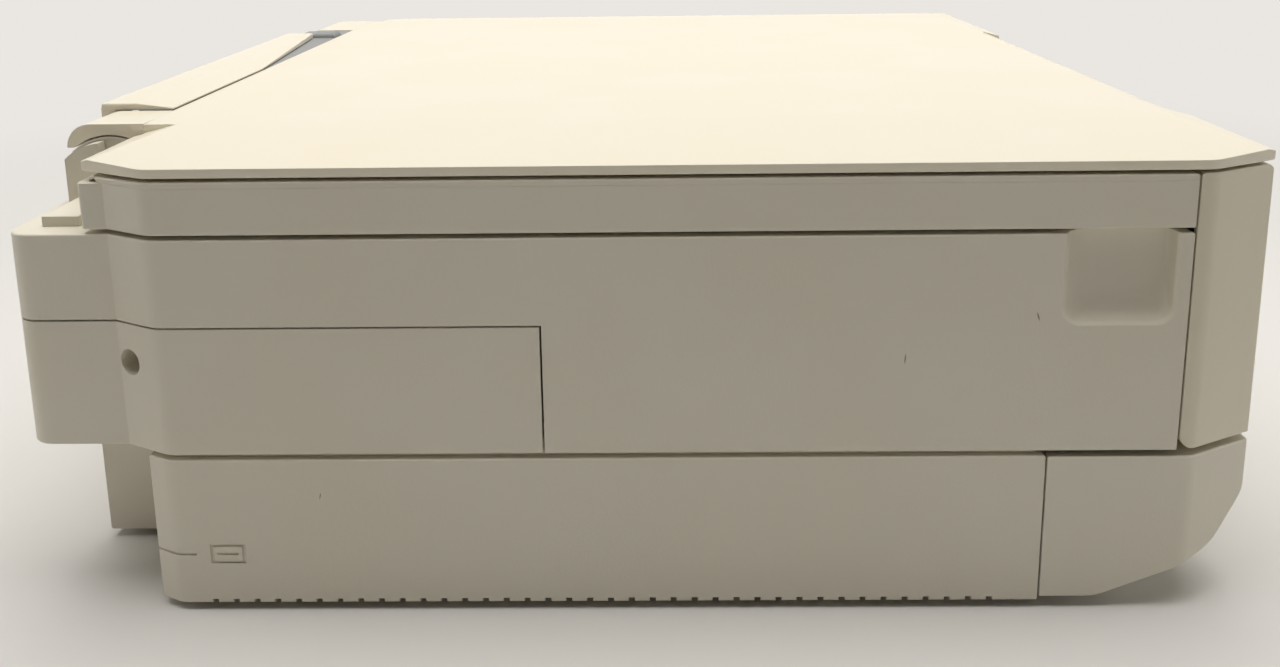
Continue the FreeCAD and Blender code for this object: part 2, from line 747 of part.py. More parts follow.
# Front bezel behind the control panel, with the mouth where the printed sheets come out.
def front_bezel():
    y = (Y_CASE_FRONT, Y_CASE_FRONT + BEZEL_PLATE)
    grip_low = grip_place()[1][0] - WALL - SLIDE_GAP
    plate = block(both_ways(HALF - WALL), y, (Z_CASE, grip_low))
    upper = block(both_ways(HALF - GRIP_DEPTH - WALL - SLIDE_GAP), y, (grip_low, Z_CASE_TOP - WALL))
    mouth_half = PAPER_HALF + EXIT_MOUTH_MARGIN
    corner = BEZEL_PLATE
    top = Z_CASE + EXIT_MOUTH_HEIGHT
    mouth = [(-mouth_half, Z_CASE - CUT, 0), (mouth_half, Z_CASE - CUT, 0)]
    mouth += [(mouth_half, top, corner), (-mouth_half, top, corner)]
    return join([plate, upper]).cut(front_prism(mouth, (y[0] - CUT, y[1] + CUT)))


nodes["front_bezel"] = front_bezel()


# Hinge pedestals on the rear hump, each with the stub pin on which the scanner unit swings.
Y_SCAN_BACK = Y_BODY + SCANNER_HUMP_REACH
Y_SCAN_PIVOT = Y_SCAN_BACK - SCANNER_HUMP_HEEL_R
Z_SCAN_PIVOT = Z_SCAN + SCANNER_HUMP_HEEL_R
Y_LID_PIVOT = Y_BODY + LID_PIVOT_BACK
Z_LID_PIVOT = Z_SCAN + LID_PIVOT_LIFT
LUG_X = (SCANNER_HUMP_HALF + SEAM_LINE, SCANNER_HUMP_HALF + SEAM_LINE + LUG_THICKNESS)


def hinge_pedestal():
    lug_r = PEDESTAL_DEPTH / 2
    y = (Y_SCAN_PIVOT - lug_r, Y_SCAN_PIVOT + lug_r)
    start = SCANNER_HUMP_HALF + TROUGH_END_GAP
    base_y = (y[0] - PEDESTAL_SETBACK, y[1] - PEDESTAL_SETBACK)
    base = block((start, start + PEDESTAL_LENGTH), base_y, (Z_CASE_TOP, Z_CASE_TOP + PEDESTAL_HEIGHT))
    lug = block(LUG_X, y, (Z_CASE_TOP, Z_LID_TOP)).common(rod_x(LUG_X, Y_LID_PIVOT, Z_LID_PIVOT, LUG_TOP_R))
    pin = rod_x((SCANNER_HUMP_HALF - SCANNER_PIN_DEPTH, LUG_X[1]), Y_SCAN_PIVOT, Z_SCAN_PIVOT, SCANNER_PIN_R)
    return join([base, lug, pin])


nodes["hinge_pedestals"] = pair(hinge_pedestal())


# Scanner case: a shallow tray with a rounded hump at the back, on which the lid's arms ride.
LEFT_ARM_X = (-SCANNER_HUMP_HALF, -SCANNER_HUMP_HALF + LEFT_ARM_WIDTH)
RIGHT_ARM_X = (SCANNER_HUMP_HALF - RIGHT_ARM_WIDTH, SCANNER_HUMP_HALF)


def scanner_plan(inset, z):
    side = HUMP_HALF - inset
    back = Y_BODY - inset
    radius = SCANNER_CORNER_R
    start = Y_BODY - CHAMFER_RUN - CUT
    corners = [(-side, start, 0), (side, start, 0), (side, back, radius), (-side, back, radius)]
    return join([body_plan(inset, z, (Y_CASE_FRONT + inset, Y_BACK)), plan_prism(corners, z)])


def track_sector(x, inner, outer):
    """Part of a ring about the lid's axis, over the stretch that a hinge arm's tongue sweeps."""
    start = math.radians(TRACK_START)
    end = math.radians(TRACK_END)
    middle = (start + end) / 2
    points = [(Y_LID_PIVOT + r * math.cos(a), Z_LID_PIVOT + r * math.sin(a))
              for a in (start, middle, end) for r in (inner, outer)]
    place = [FreeCAD.Vector(x[0], y, z) for y, z in points]
    edges = [Part.Arc(place[0], place[2], place[4]), Part.LineSegment(place[4], place[5])]
    edges += [Part.Arc(place[5], place[3], place[1]), Part.LineSegment(place[1], place[0])]
    face = Part.Face(Part.Wire([edge.toShape() for edge in edges]))
    return face.extrude(FreeCAD.Vector(x[1] - x[0], 0, 0))


def tongue_x(arm):
    middle = (arm[0] + arm[1]) / 2
    return (middle - TONGUE_WIDTH / 2, middle + TONGUE_WIDTH / 2)


def scanner_hump():
    x = both_ways(SCANNER_HUMP_HALF)
    start = Y_BODY - CUT
    corners = [(start, Z_SCAN, 0), (Y_SCAN_BACK, Z_SCAN, SCANNER_HUMP_HEEL_R)]
    corners += [(Y_SCAN_BACK, Z_FLAP_TOP, 0), (start, Z_FLAP_TOP, 0)]
    hump = side_prism(corners, x).common(rod_x(x, Y_LID_PIVOT, Z_LID_PIVOT, SCANNER_HUMP_R))
    core_x = (LEFT_ARM_X[1] + WALL, RIGHT_ARM_X[0] - WALL)
    core = rod_x(core_x, Y_LID_PIVOT, Z_LID_PIVOT, SCANNER_HUMP_R - HUMP_CORE_WALL)
    core_y = (Y_BODY + WALL, Y_SCAN_BACK - HUMP_CORE_WALL)
    core = core.common(block(core_x, core_y, (Z_SCAN - CUT, Z_LID_TOP)))
    cuts = [core]
    track_r = ARM_INNER_R - TONGUE_DEPTH - TRACK_GAP
    for arm in (LEFT_ARM_X, RIGHT_ARM_X):
        tongue = tongue_x(arm)
        wide = (tongue[0] - TRACK_GAP, tongue[1] + TRACK_GAP)
        cuts.append(track_sector(wide, track_r, ARM_INNER_R + CUT))
    bore_x = (SCANNER_HUMP_HALF - SCANNER_PIN_DEPTH - SLIDE_GAP, SCANNER_HUMP_HALF + CUT)
    bore = rod_x(bore_x, Y_SCAN_PIVOT, Z_SCAN_PIVOT, SCANNER_PIN_R + RUN_GAP)
    return hump.cut(cuts + [bore, mirrored(bore)])


def scanner_case():
    outer = soften(scanner_plan(0, (Z_SCAN, Z_BEZEL)), [Z_SCAN], EDGE_R)
    tray = outer.cut(scanner_plan(WALL, (Z_SCAN + FLOOR, Z_BEZEL + CUT)))
    return join([tray, scanner_hump()])


def glass_place(grow):
    x = (GLASS_SHIFT - GLASS_LONG / 2 - grow, GLASS_SHIFT + GLASS_LONG / 2 + grow)
    middle = (Y_CASE_FRONT + Y_BODY) / 2
    return x, (middle - GLASS_WIDE / 2 - grow, middle + GLASS_WIDE / 2 + grow)


def scanner_bezel():
    height = (Z_BEZEL, Z_SCAN_TOP)
    plate = soften(body_plan(0, height, (Y_CASE_FRONT, Y_BODY)), [Z_SCAN_TOP], EDGE_R)
    plate = plate.cut(rod_x(both_ways(HALF), Y_LID_PIVOT, Z_LID_PIVOT, ARM_INNER_R + SEAM_LINE))
    ledge = block(*glass_place(GLASS_LEDGE), (Z_BEZEL - LEDGE_THICKNESS, Z_BEZEL))
    window = block(*glass_place(SLIDE_GAP), (Z_BEZEL, Z_SCAN_TOP + CUT))
    light = block(*glass_place(-GLASS_LEDGE), (Z_BEZEL - LEDGE_THICKNESS - CUT, Z_SCAN_TOP))
    return join([plate, ledge]).cut([window, light])


nodes["scanner_case"] = scanner_case()
nodes["scanner_bezel"] = scanner_bezel()
nodes["scanner_glass"] = block(*glass_place(0), (Z_BEZEL, Z_SCAN_TOP - GLASS_SINK))


# Scan bar under the glass, on a guide rod that runs from side to side.
def scan_rod_y():
    y = glass_place(0)[1]
    return (y[0] + y[1]) / 2


def scan_bar():
    x, y = glass_place(-GLASS_LEDGE)
    top = Z_BEZEL - LEDGE_THICKNESS - SEAM_LINE
    bar = block((x[0], x[0] + SCAN_BAR_WIDTH), y, (Z_SCAN + SCAN_BAR_LIFT, top))
    bore_x = (x[0] - CUT, x[0] + SCAN_BAR_WIDTH + CUT)
    return bar.cut(rod_x(bore_x, scan_rod_y(), Z_SCAN + SCAN_ROD_LIFT, SCAN_ROD_R + RUN_GAP))


nodes["scan_guide_rod"] = rod_x(both_ways(HALF - WALL), scan_rod_y(), Z_SCAN + SCAN_ROD_LIFT, SCAN_ROD_R)
nodes["scan_bar"] = scan_bar()


# Document lid: a cover over the scanner and the control panel, with a finger notch in its front edge.
# Its raised middle slopes down to the rim, and at the back it stands up to the hinge arms.
Y_LID_BACK = Y_BODY - LID_REAR_SETBACK


def lid_section(back):
    """The lid's outline from the side, with a sloping front, up to the given corners at the back."""
    front = [(Y_FRONT + LID_END_SLOPE, Z_CROWN, 0), (Y_FRONT, Z_LID_TOP, 0), (Y_FRONT, Z_LID, 0)]
    return front + back


def document_lid():
    height = (Z_LID, Z_CROWN)
    crest = HALF - LID_SIDE_SLOPE
    section = [(-HALF, Z_LID, 0), (HALF, Z_LID, 0), (HALF, Z_LID_TOP, 0), (crest, Z_CROWN, LID_CREST_R)]
    section += [(-crest, Z_CROWN, LID_CREST_R), (-HALF, Z_LID_TOP, 0)]
    roof = body_plan(0, height).common(front_prism(section, (Y_FRONT, Y_BODY)))
    sloping = [(Y_BODY, Z_LID, 0), (Y_BODY, Z_LID_TOP, 0), (Y_BODY - LID_END_SLOPE, Z_CROWN, 0)]
    upright = [(Y_LID_BACK, Z_LID, 0), (Y_LID_BACK, Z_CROWN, 0)]
    ends = roof.common(side_prism(lid_section(sloping), both_ways(HALF)))
    middle = roof.common(side_prism(lid_section(upright), both_ways(SCANNER_HUMP_HALF)))
    hump_room = block(both_ways(SCANNER_HUMP_HALF + TROUGH_END_GAP), (Y_LID_BACK, Y_BACK), height)
    left = LID_NOTCH_LEFT
    right = LID_NOTCH_RIGHT
    bottom = Y_FRONT + LID_NOTCH_DEPTH
    corners = [(left, Y_FRONT - CUT, 0), (right, Y_FRONT - CUT, 0)]
    corners += [(right, bottom, LID_NOTCH_R), (left, bottom, LID_NOTCH_R)]
    slab = soften(join([ends, middle]).cut([hump_room, plan_prism(corners, height)]), [Z_LID], EDGE_R)
    hollow_z = (Z_LID - CUT, Z_CROWN - LID_SKIN)
    return slab.cut(block(*glass_place(MAT_MARGIN - LID_HOLLOW_INSET), hollow_z))


nodes["document_lid"] = document_lid()
nodes["document_mat"] = block(*glass_place(MAT_MARGIN), (Z_LID - MAT_THICKNESS, Z_LID))


# Lid hinge arms: they curve over the hump, and a tongue under each runs in the hump's round track.
Y_FLAP_PIN = Y_LID_PIVOT + FLAP_PIN_ORBIT * math.cos(math.radians(FLAP_PIN_TURN))
Z_FLAP_PIN = Z_LID_PIVOT + FLAP_PIN_ORBIT * math.sin(math.radians(FLAP_PIN_TURN))
FLAP_X = (LEFT_ARM_X[1] + FLAP_END_GAP, LEFT_ARM_X[1] + FLAP_END_GAP + FLAP_LENGTH)


def hinge_arm(x):
    back = Y_LID_PIVOT + ARM_BACK
    top = Z_CROWN
    low = Z_LID_PIVOT + ARM_DROP
    corners = [(Y_LID_BACK, low, 0), (back, low, 0), (back, top, ARM_NOSE_R), (Y_LID_BACK, top, 0)]
    arm = side_prism(corners, x).cut(rod_x((x[0] - CUT, x[1] + CUT), Y_LID_PIVOT, Z_LID_PIVOT, ARM_INNER_R))
    tongue = ring_x(tongue_x(x), Y_LID_PIVOT, Z_LID_PIVOT, ARM_INNER_R - TONGUE_DEPTH, ARM_INNER_R + CUT)
    tongue = tongue.common(block(tongue_x(x), (Y_LID_PIVOT, back), (low, top)))
    return join([arm, tongue])


def lid_hinge_arms():
    reach = FLAP_KNUCKLE_LENGTH + FLAP_END_GAP
    left_pin = rod_x((LEFT_ARM_X[1] - CUT, LEFT_ARM_X[1] + reach), Y_FLAP_PIN, Z_FLAP_PIN, FLAP_PIN_R)
    right_pin = rod_x((FLAP_X[1] - reach, RIGHT_ARM_X[0] + CUT), Y_FLAP_PIN, Z_FLAP_PIN, FLAP_PIN_R)
    left = join([hinge_arm(LEFT_ARM_X), left_pin])
    right = join([hinge_arm(RIGHT_ARM_X), right_pin])
    return Part.makeCompound([left, right])


def flap_barrel():
    """Barrel on the flap's pin, with a strip under the flap's front edge and a stop beside the flap's end."""
    x = (FLAP_X[1] + FLAP_END_GAP, RIGHT_ARM_X[0])
    barrel = ring_x(x, Y_FLAP_PIN, Z_FLAP_PIN, FLAP_PIN_R + RUN_GAP, FLAP_KNUCKLE_R)
    y = (Y_LID_BACK + SEAM_LINE, Y_LID_BACK + SEAM_LINE + STRIP_WIDTH)
    z = (Z_CROWN - STRIP_SINK - STRIP_THICKNESS, Z_CROWN - STRIP_SINK)
    strip = block((LEFT_ARM_X[1], RIGHT_ARM_X[0]), y, z)
    web = block(x, (y[0], Y_FLAP_PIN), z)
    neck_y = (Y_FLAP_PIN - FLAP_PIN_R, Y_FLAP_PIN + FLAP_PIN_R)
    neck = block(x, neck_y, (Z_FLAP_PIN + FLAP_PIN_R + SLIDE_GAP, z[1]))
    stop_y = (y[1] - STOP_DEPTH, y[1])
    stop = block((x[0], x[0] + STOP_LENGTH), stop_y, (z[0], Z_FLAP_TOP))
    stop = soften(stop, [Z_FLAP_TOP], STOP_R)
    return join([barrel, strip, web, neck, stop])


nodes["lid_hinge_arms"] = lid_hinge_arms()
nodes["flap_barrel"] = flap_barrel()


# Rear flap between the arms: a thin plate with a lip along its back, and a wedge cut out of its front edge.
def rear_flap():
    back = Y_LID_PIVOT + ARM_BACK
    front = Y_LID_BACK + EDGE_R
    wedge_x = FLAP_X[0] + FLAP_WEDGE_START
    plate_z = (Z_FLAP_TOP - FLAP_THICKNESS, Z_FLAP_TOP)
    corners = [(FLAP_X[0], front, EDGE_R), (wedge_x, front, FLAP_WEDGE_R)]
    corners += [(FLAP_X[1], front + FLAP_WEDGE_DEPTH, EDGE_R), (FLAP_X[1], back, EDGE_R)]
    corners.append((FLAP_X[0], back, EDGE_R))
    section = [(front, plate_z[0], 0), (front, plate_z[0] + FLAP_EDGE, 0)]
    section += [(front + FLAP_BEVEL, Z_FLAP_TOP, 0), (back, Z_FLAP_TOP, 0), (back, plate_z[0], 0)]
    plate = soften(plan_prism(corners, plate_z), [Z_FLAP_TOP], EDGE_R).common(side_prism(section, FLAP_X))
    lip = block(FLAP_X, (back - FLAP_THICKNESS, back), (Z_FLAP_TOP - FLAP_LIP, plate_z[0] + CUT))
    solids = [plate, lip]
    bores = []
    length = FLAP_KNUCKLE_LENGTH
    for x in ((FLAP_X[0], FLAP_X[0] + length), (FLAP_X[1] - length, FLAP_X[1])):
        web_y = (Y_FLAP_PIN - FLAP_KNUCKLE_R, Y_FLAP_PIN + FLAP_KNUCKLE_R)
        solids.append(block(x, web_y, (Z_FLAP_PIN, plate_z[0] + CUT)))
        solids.append(rod_x(x, Y_FLAP_PIN, Z_FLAP_PIN, FLAP_KNUCKLE_R))
        bore_x = (x[0] - CUT - FLAP_END_GAP, x[1] + CUT + FLAP_END_GAP)
        bores.append(rod_x(bore_x, Y_FLAP_PIN, Z_FLAP_PIN, FLAP_PIN_R + RUN_GAP))
    return join(solids).cut(bores)


nodes["rear_flap"] = rear_flap()


# Control panel: a shell that wraps round the front corners and swings up about its top front edge.
Z_PANEL = Z_CASE + PANEL_LIFT
Z_PANEL_TOP = Z_LID - PANEL_TOP_GAP
Y_PANEL_PIVOT = Y_FRONT + PANEL_PIVOT_INSET
Z_PANEL_PIVOT = Z_PANEL_TOP - PANEL_PIVOT_INSET
BRACKET = (HALF - BRACKET_INSET - BRACKET_WIDTH, HALF - BRACKET_INSET)
DISPLAY_X = both_ways(DISPLAY_WIDTH / 2)
DISPLAY_Z = (Z_PANEL + DISPLAY_LIFT, Z_PANEL + DISPLAY_LIFT + DISPLAY_HEIGHT)
Y_DISPLAY = (Y_FRONT, Y_FRONT + DISPLAY_THICKNESS)
Z_BUTTONS = Z_PANEL + BUTTON_LIFT
START_BUTTON_X = HALF - START_BUTTON_INSET
BUTTON_PLACES = {
    "power_button": POWER_BUTTON_INSET - HALF,
    "home_button": DISPLAY_X[0] - HOME_BUTTON_GAP,
    "stop_button": START_BUTTON_X - START_STOP_PITCH,
    "start_button": START_BUTTON_X,
}


def panel_solid(inset, back):
    low = Z_PANEL + inset
    top = Z_PANEL_TOP - inset
    front = Y_FRONT + inset
    nose = PANEL_EDGE_R if inset == 0 else PANEL_PIVOT_INSET - inset
    heel = PANEL_HEEL_R if inset == 0 else 0
    heel_top = PANEL_BACK_R if inset == 0 else 0
    corners = [(front, low, EDGE_R), (back, low, heel), (back, top, heel_top), (front, top, nose)]
    bar = side_prism(corners, both_ways(WIDTH))
    return body_plan(inset, (low, top)).common(bar)


def pivot_ribs():
    ribs = []
    y = (Y_FRONT + WALL / 2, Y_PANEL_PIVOT + PANEL_PIVOT_INSET)
    z = (Z_PANEL_PIVOT - PANEL_PIVOT_INSET, Z_PANEL_TOP - WALL / 2)
    for start in (BRACKET[0] - 2 * PIVOT_RIB, BRACKET[1] + PIVOT_RIB):
        rib = block((start, start + PIVOT_RIB), y, z).common(panel_solid(WALL / 2, Y_PANEL_BACK))
        ribs += [rib, mirrored(rib)]
    return ribs


def pivot_pin(radius, grow):
    x = (BRACKET[0] - 2 * PIVOT_RIB - grow, BRACKET[1] + 2 * PIVOT_RIB + grow)
    return rod_x(x, Y_PANEL_PIVOT, Z_PANEL_PIVOT, radius)


def panel_shell():
    shell = panel_solid(0, Y_PANEL_BACK).cut(panel_solid(WALL, Y_PANEL_BACK + CUT))
    shell = join([shell] + pivot_ribs())
    slot_x = (BRACKET[0] - BRACKET_SLOT_GAP, BRACKET[1] + BRACKET_SLOT_GAP)
    slot = block(slot_x, (Y_PANEL_PIVOT - CUT, Y_PANEL_BACK + CUT), (Z_PANEL_PIVOT, Z_PANEL_TOP + CUT))
    boss_room = rod_x(slot_x, Y_PANEL_PIVOT, Z_PANEL_PIVOT, BRACKET_BOSS_R + SLIDE_GAP)
    bore = pivot_pin(PANEL_PIN_R + RUN_GAP, CUT)
    cuts = [slot, mirrored(slot), boss_room, mirrored(boss_room), bore, mirrored(bore)]
    recess_x = (DISPLAY_X[0] - RUN_GAP, DISPLAY_X[1] + RUN_GAP)
    recess_z = (DISPLAY_Z[0] - RUN_GAP, DISPLAY_Z[1] + RUN_GAP)
    cuts.append(block(recess_x, (Y_FRONT - CUT, Y_DISPLAY[1]), recess_z))
    ledge_x = (DISPLAY_X[0] + DISPLAY_LEDGE, DISPLAY_X[1] - DISPLAY_LEDGE)
    ledge_z = (DISPLAY_Z[0] + DISPLAY_LEDGE, DISPLAY_Z[1] - DISPLAY_LEDGE)
    cuts.append(block(ledge_x, (Y_FRONT - CUT, Y_FRONT + WALL + CUT), ledge_z))
    for x in BUTTON_PLACES.values():
        cuts.append(rod_y(x, (Y_FRONT - CUT, Y_FRONT + WALL + CUT), Z_BUTTONS, BUTTON_R + SLIDE_GAP))
    return shell.cut(cuts)


def panel_back():
    x = both_ways(BRACKET[0] - 2 * PIVOT_RIB - PANEL_BACK_GAP)
    y = (Y_PANEL_BACK - 2 * PANEL_BACK_THICKNESS, Y_PANEL_BACK - PANEL_BACK_THICKNESS)
    return block(x, y, (Z_PANEL + WALL, Z_PANEL_TOP - WALL))


def button(x):
    face = (Y_FRONT + BUTTON_SINK, Y_FRONT + WALL + SLIDE_GAP)
    cap = rod_y(x, face, Z_BUTTONS, BUTTON_R)
    flange = rod_y(x, (face[1], face[1] + BUTTON_FLANGE_THICKNESS), Z_BUTTONS, BUTTON_R + BUTTON_FLANGE)
    return join([cap, flange])


def panel_bracket():
    foot_z = (Z_CASE_TOP - WALL - BRACKET_FOOT, Z_CASE_TOP - WALL)
    reach = BRACKET_BOSS_R
    corners = [(Y_CASE_FRONT, foot_z[0], 0), (Y_CASE_FRONT, foot_z[1], 0)]
    corners.append((Y_PANEL_PIVOT + reach / 2, Z_PANEL_PIVOT + reach / 2, 0))
    corners.append((Y_PANEL_PIVOT - reach / 2, Z_PANEL_PIVOT - reach / 2, 0))
    arm = side_prism(corners, BRACKET)
    boss = rod_x(BRACKET, Y_PANEL_PIVOT, Z_PANEL_PIVOT, BRACKET_BOSS_R)
    return join([arm, boss]).cut(pivot_pin(PANEL_PIN_R + RUN_GAP, CUT))


nodes["panel_shell"] = panel_shell()
nodes["panel_back"] = panel_back()
nodes["panel_hinge_pins"] = pair(pivot_pin(PANEL_PIN_R, 0))
nodes["panel_brackets"] = pair(panel_bracket())
nodes["display"] = block(DISPLAY_X, Y_DISPLAY, DISPLAY_Z)
for name, place in BUTTON_PLACES.items():
    nodes[name] = button(place)


# Cassette: a front that wraps round the corners with a tucked-in chin, and the paper tray behind it.
Z_CASSETTE = Z_BASE + CASSETTE_LIFT
Z_CASSETTE_TOP = Z_BASE_TOP - CASSETTE_TOP_GAP
Y_TRAY_FRONT = Y_FRONT + TRAY_FRONT_SETBACK
Y_TRAY_BACK = Y_BASE_BACK - WALL - TRAY_BACK_GAP
Z_TRAY = Z_BASE + TRAY_LIFT
Z_TRAY_TOP = Z_TRAY + TRAY_DEPTH
Z_SHEETS = Z_TRAY + TRAY_WALL
Z_OUTPUT = Z_TRAY_TOP + SLIDE_GAP


def chin_corners(inset, back):
    low = Z_CASSETTE + inset
    front = Y_FRONT + inset
    return [
        (back, low, 0),
        (Y_FRONT + CHIN_FLAT + inset / 2, low, CHIN_R / 2),
        (Y_FRONT + CHIN_KNEE_BACK + inset, Z_CASSETTE + CHIN_KNEE_LIFT + inset, CHIN_R / 2),
        (front, Z_CASSETTE + CHIN_TOP_LIFT + inset / 2, CHIN_R / 2),
        (front, Z_CASSETTE_TOP - inset, 0),
        (back, Z_CASSETTE_TOP - inset, 0),
    ]


def cassette_front():
    full = (Z_CASSETTE, Z_CASSETTE_TOP)
    outer = soften(body_plan(0, full, (Y_FRONT, Y_CASSETTE_BACK)), [Z_CASSETTE_TOP], EDGE_R)
    outer = outer.common(side_prism(chin_corners(0, Y_CASSETTE_BACK + CUT), both_ways(WIDTH)))
    hollow = body_plan(WALL, full, (Y_FRONT, Y_CASSETTE_BACK + CUT))
    hollow = hollow.common(side_prism(chin_corners(WALL, Y_CASSETTE_BACK + 2 * CUT), both_ways(WIDTH)))
    shelf_y = (Y_TRAY_FRONT, Y_CASSETTE_BACK)
    shelf = block(both_ways(TRAY_HALF), shelf_y, (Z_CASSETTE + WALL / 2, Z_TRAY))
    mouth_x = both_ways(TRAY_HALF + SLIDE_GAP)
    mouth = block(mouth_x, (Y_FRONT - CUT, Y_CASSETTE_BACK + CUT), (Z_TRAY_TOP, Z_BASE_TOP))
    shelf = shelf.common(side_prism(chin_corners(WALL / 2, Y_CASSETTE_BACK + CUT), both_ways(WIDTH)))
    return join([outer.cut(hollow), shelf]).cut(mouth)


def cassette_tray():
    x = both_ways(TRAY_HALF)
    y = (Y_TRAY_FRONT, Y_TRAY_BACK)
    inner_y = (y[0] + TRAY_WALL, y[1] - TRAY_WALL)
    hollow = block(both_ways(TRAY_IN_HALF), inner_y, (Z_SHEETS, Z_TRAY_TOP + CUT))
    tray = block(x, y, (Z_TRAY, Z_TRAY_TOP)).cut(hollow)
    ledge_z = Z_TRAY_TOP - PHOTO_TRAY_DEPTH - SLIDE_GAP
    ledge = block(across(TRAY_IN_HALF + CUT, PHOTO_LEDGE + CUT), inner_y, (ledge_z - TRAY_WALL, ledge_z))
    runner_y = (Y_CASSETTE_BACK + SEAM_LINE, y[1])
    runner = block(across(TRAY_HALF, RUNNER_WIDTH), runner_y, (Z_FLOOR + SLIDE_GAP, Z_TRAY + CUT))
    return join([tray, ledge, mirrored(ledge), runner, mirrored(runner)])


def side_guide():
    y_middle = (Y_TRAY_FRONT + Y_TRAY_BACK) / 2
    y = (y_middle - GUIDE_LENGTH / 2, y_middle + GUIDE_LENGTH / 2)
    low = Z_SHEETS + SLIDE_GAP
    fence = block((PAPER_HALF, PAPER_HALF + GUIDE_THICKNESS), y, (low, low + GUIDE_HEIGHT))
    plate = block((PAPER_HALF - GUIDE_FOOT, PAPER_HALF + CUT), y, (low, low + GUIDE_FOOT_THICKNESS))
    return join([fence, plate])


def length_guide():
    x = both_ways(LENGTH_GUIDE_WIDTH / 2)
    front = Y_TRAY_FRONT + TRAY_WALL + SLIDE_GAP
    low = Z_SHEETS + SLIDE_GAP
    fence = block(x, (front, front + GUIDE_THICKNESS), (low, low + GUIDE_HEIGHT))
    plate = block(x, (front, front + GUIDE_FOOT), (low, low + GUIDE_FOOT_THICKNESS))
    return join([fence, plate])


def photo_tray():
    half = TRAY_IN_HALF - SLIDE_GAP
    front = Y_TRAY_FRONT + TRAY_WALL + SLIDE_GAP
    y = (front, front + PHOTO_TRAY_LENGTH)
    low = Z_TRAY_TOP - PHOTO_TRAY_DEPTH
    inner_y = (y[0] + TRAY_WALL, y[1] - TRAY_WALL)
    tray = block(both_ways(half), y, (low, Z_TRAY_TOP))
    return tray.cut(block(both_ways(half - TRAY_WALL), inner_y, (low + TRAY_WALL, Z_TRAY_TOP + CUT)))


def output_tray():
    x = both_ways(TRAY_HALF)
    y = (Y_FRONT, Y_FRONT + OUTPUT_LENGTH)
    plate = block(x, y, (Z_OUTPUT, Z_OUTPUT + OUTPUT_THICKNESS))
    lip = block(x, (Y_FRONT, Y_FRONT + OUTPUT_LIP), (Z_OUTPUT, Z_CASSETTE_TOP))
    return join([plate, lip])


nodes["cassette_front"] = cassette_front()
nodes["cassette_tray"] = cassette_tray()
nodes["right_paper_guide"] = side_guide()
nodes["left_paper_guide"] = mirrored(side_guide())
nodes["length_guide"] = length_guide()
nodes["photo_tray"] = photo_tray()
nodes["output_tray"] = output_tray()


# Duplex unit: a box on the back of the lower housing that turns the sheets round its roller.
DUPLEX_HALF = HALF - DUPLEX_SIDE_SETBACK
DUPLEX_Y = (Y_BASE_BACK + SEAM_LINE, Y_BASE_BACK + SEAM_LINE + DUPLEX_DEPTH)
DUPLEX_Z = (Z_BASE + DUPLEX_LIFT, Z_CASE - SEAM_LINE)
Y_DUPLEX_ROLLER = DUPLEX_Y[0] + DUPLEX_ROLLER_R + CUT
Z_DUPLEX_ROLLER = (DUPLEX_Z[0] + DUPLEX_Z[1]) / 2


def duplex_unit():
    y = DUPLEX_Y
    z = DUPLEX_Z
    corners = [(y[0], z[0], 0), (y[1], z[0], DUPLEX_HEEL_R), (y[1], z[1], EDGE_R), (y[0], z[1], 0)]
    box = side_prism(corners, both_ways(DUPLEX_HALF))
    hollow = block(both_ways(DUPLEX_HALF - WALL), (y[0] - CUT, y[1] - WALL), (z[0] + WALL, z[1] - WALL))
    x, tongue_z = tongue_place()
    plate_x = (x[0] - WALL, DUPLEX_HALF - WALL / 2)
    plate = block(plate_x, (y[0], y[0] + WALL), (z[0] + WALL / 2, z[1] - WALL / 2))
    tongue = block(x, (Y_BASE_BACK - TONGUE_REACH, y[0] + WALL), tongue_z)
    unit = join([box.cut(hollow), plate, mirrored(plate), tongue, mirrored(tongue)] + duplex_guide())
    bearing = DUPLEX_HALF - WALL / 2
    return unit.cut(rod_x(both_ways(bearing), Y_DUPLEX_ROLLER, Z_DUPLEX_ROLLER, DUPLEX_SHAFT_R + RUN_GAP))


def duplex_roller():
    half = DUPLEX_HALF - WALL / 2 - SLIDE_GAP
    shaft = rod_x(both_ways(half), Y_DUPLEX_ROLLER, Z_DUPLEX_ROLLER, DUPLEX_SHAFT_R)
    return join([shaft, rod_x(both_ways(PAPER_HALF), Y_DUPLEX_ROLLER, Z_DUPLEX_ROLLER, DUPLEX_ROLLER_R)])


def duplex_guide():
    """Curved wall behind the roller and the ribs that hold it."""
    x = both_ways(PAPER_HALF)
    inner = DUPLEX_ROLLER_R + DUPLEX_GUIDE_GAP
    shell = ring_x(x, Y_DUPLEX_ROLLER, Z_DUPLEX_ROLLER, inner, inner + DUPLEX_GUIDE_THICKNESS)
    back = DUPLEX_Y[1] - WALL
    shell = shell.common(block(x, (Y_DUPLEX_ROLLER, back), DUPLEX_Z))
    ribs = []
    for side in (-1, 0, 1):
        middle = side * PAPER_HALF / 2
        rib_x = (middle - WALL / 2, middle + WALL / 2)
        rib_z = (Z_DUPLEX_ROLLER - inner / 2, Z_DUPLEX_ROLLER + inner / 2)
        rib = block(rib_x, (Y_DUPLEX_ROLLER, back), rib_z)
        ribs.append(rib.cut(rod_x(rib_x, Y_DUPLEX_ROLLER, Z_DUPLEX_ROLLER, inner)))
    return [shell] + ribs


nodes["duplex_unit"] = duplex_unit()
nodes["duplex_roller"] = duplex_roller()


# Side frames of sheet steel, which carry the rail, the platen and the rollers in bushes.
Y_FRAME = (Y_EXIT - FRAME_FRONT, Y_FEED + FRAME_BACK)
Z_FRAME = (Z_FLOOR, Z_CASE_TOP - FRAME_TOP_GAP)
GEAR_X = (-FRAME_OUT - GEAR_STANDOFF - GEAR_FACE, -FRAME_OUT - GEAR_STANDOFF)


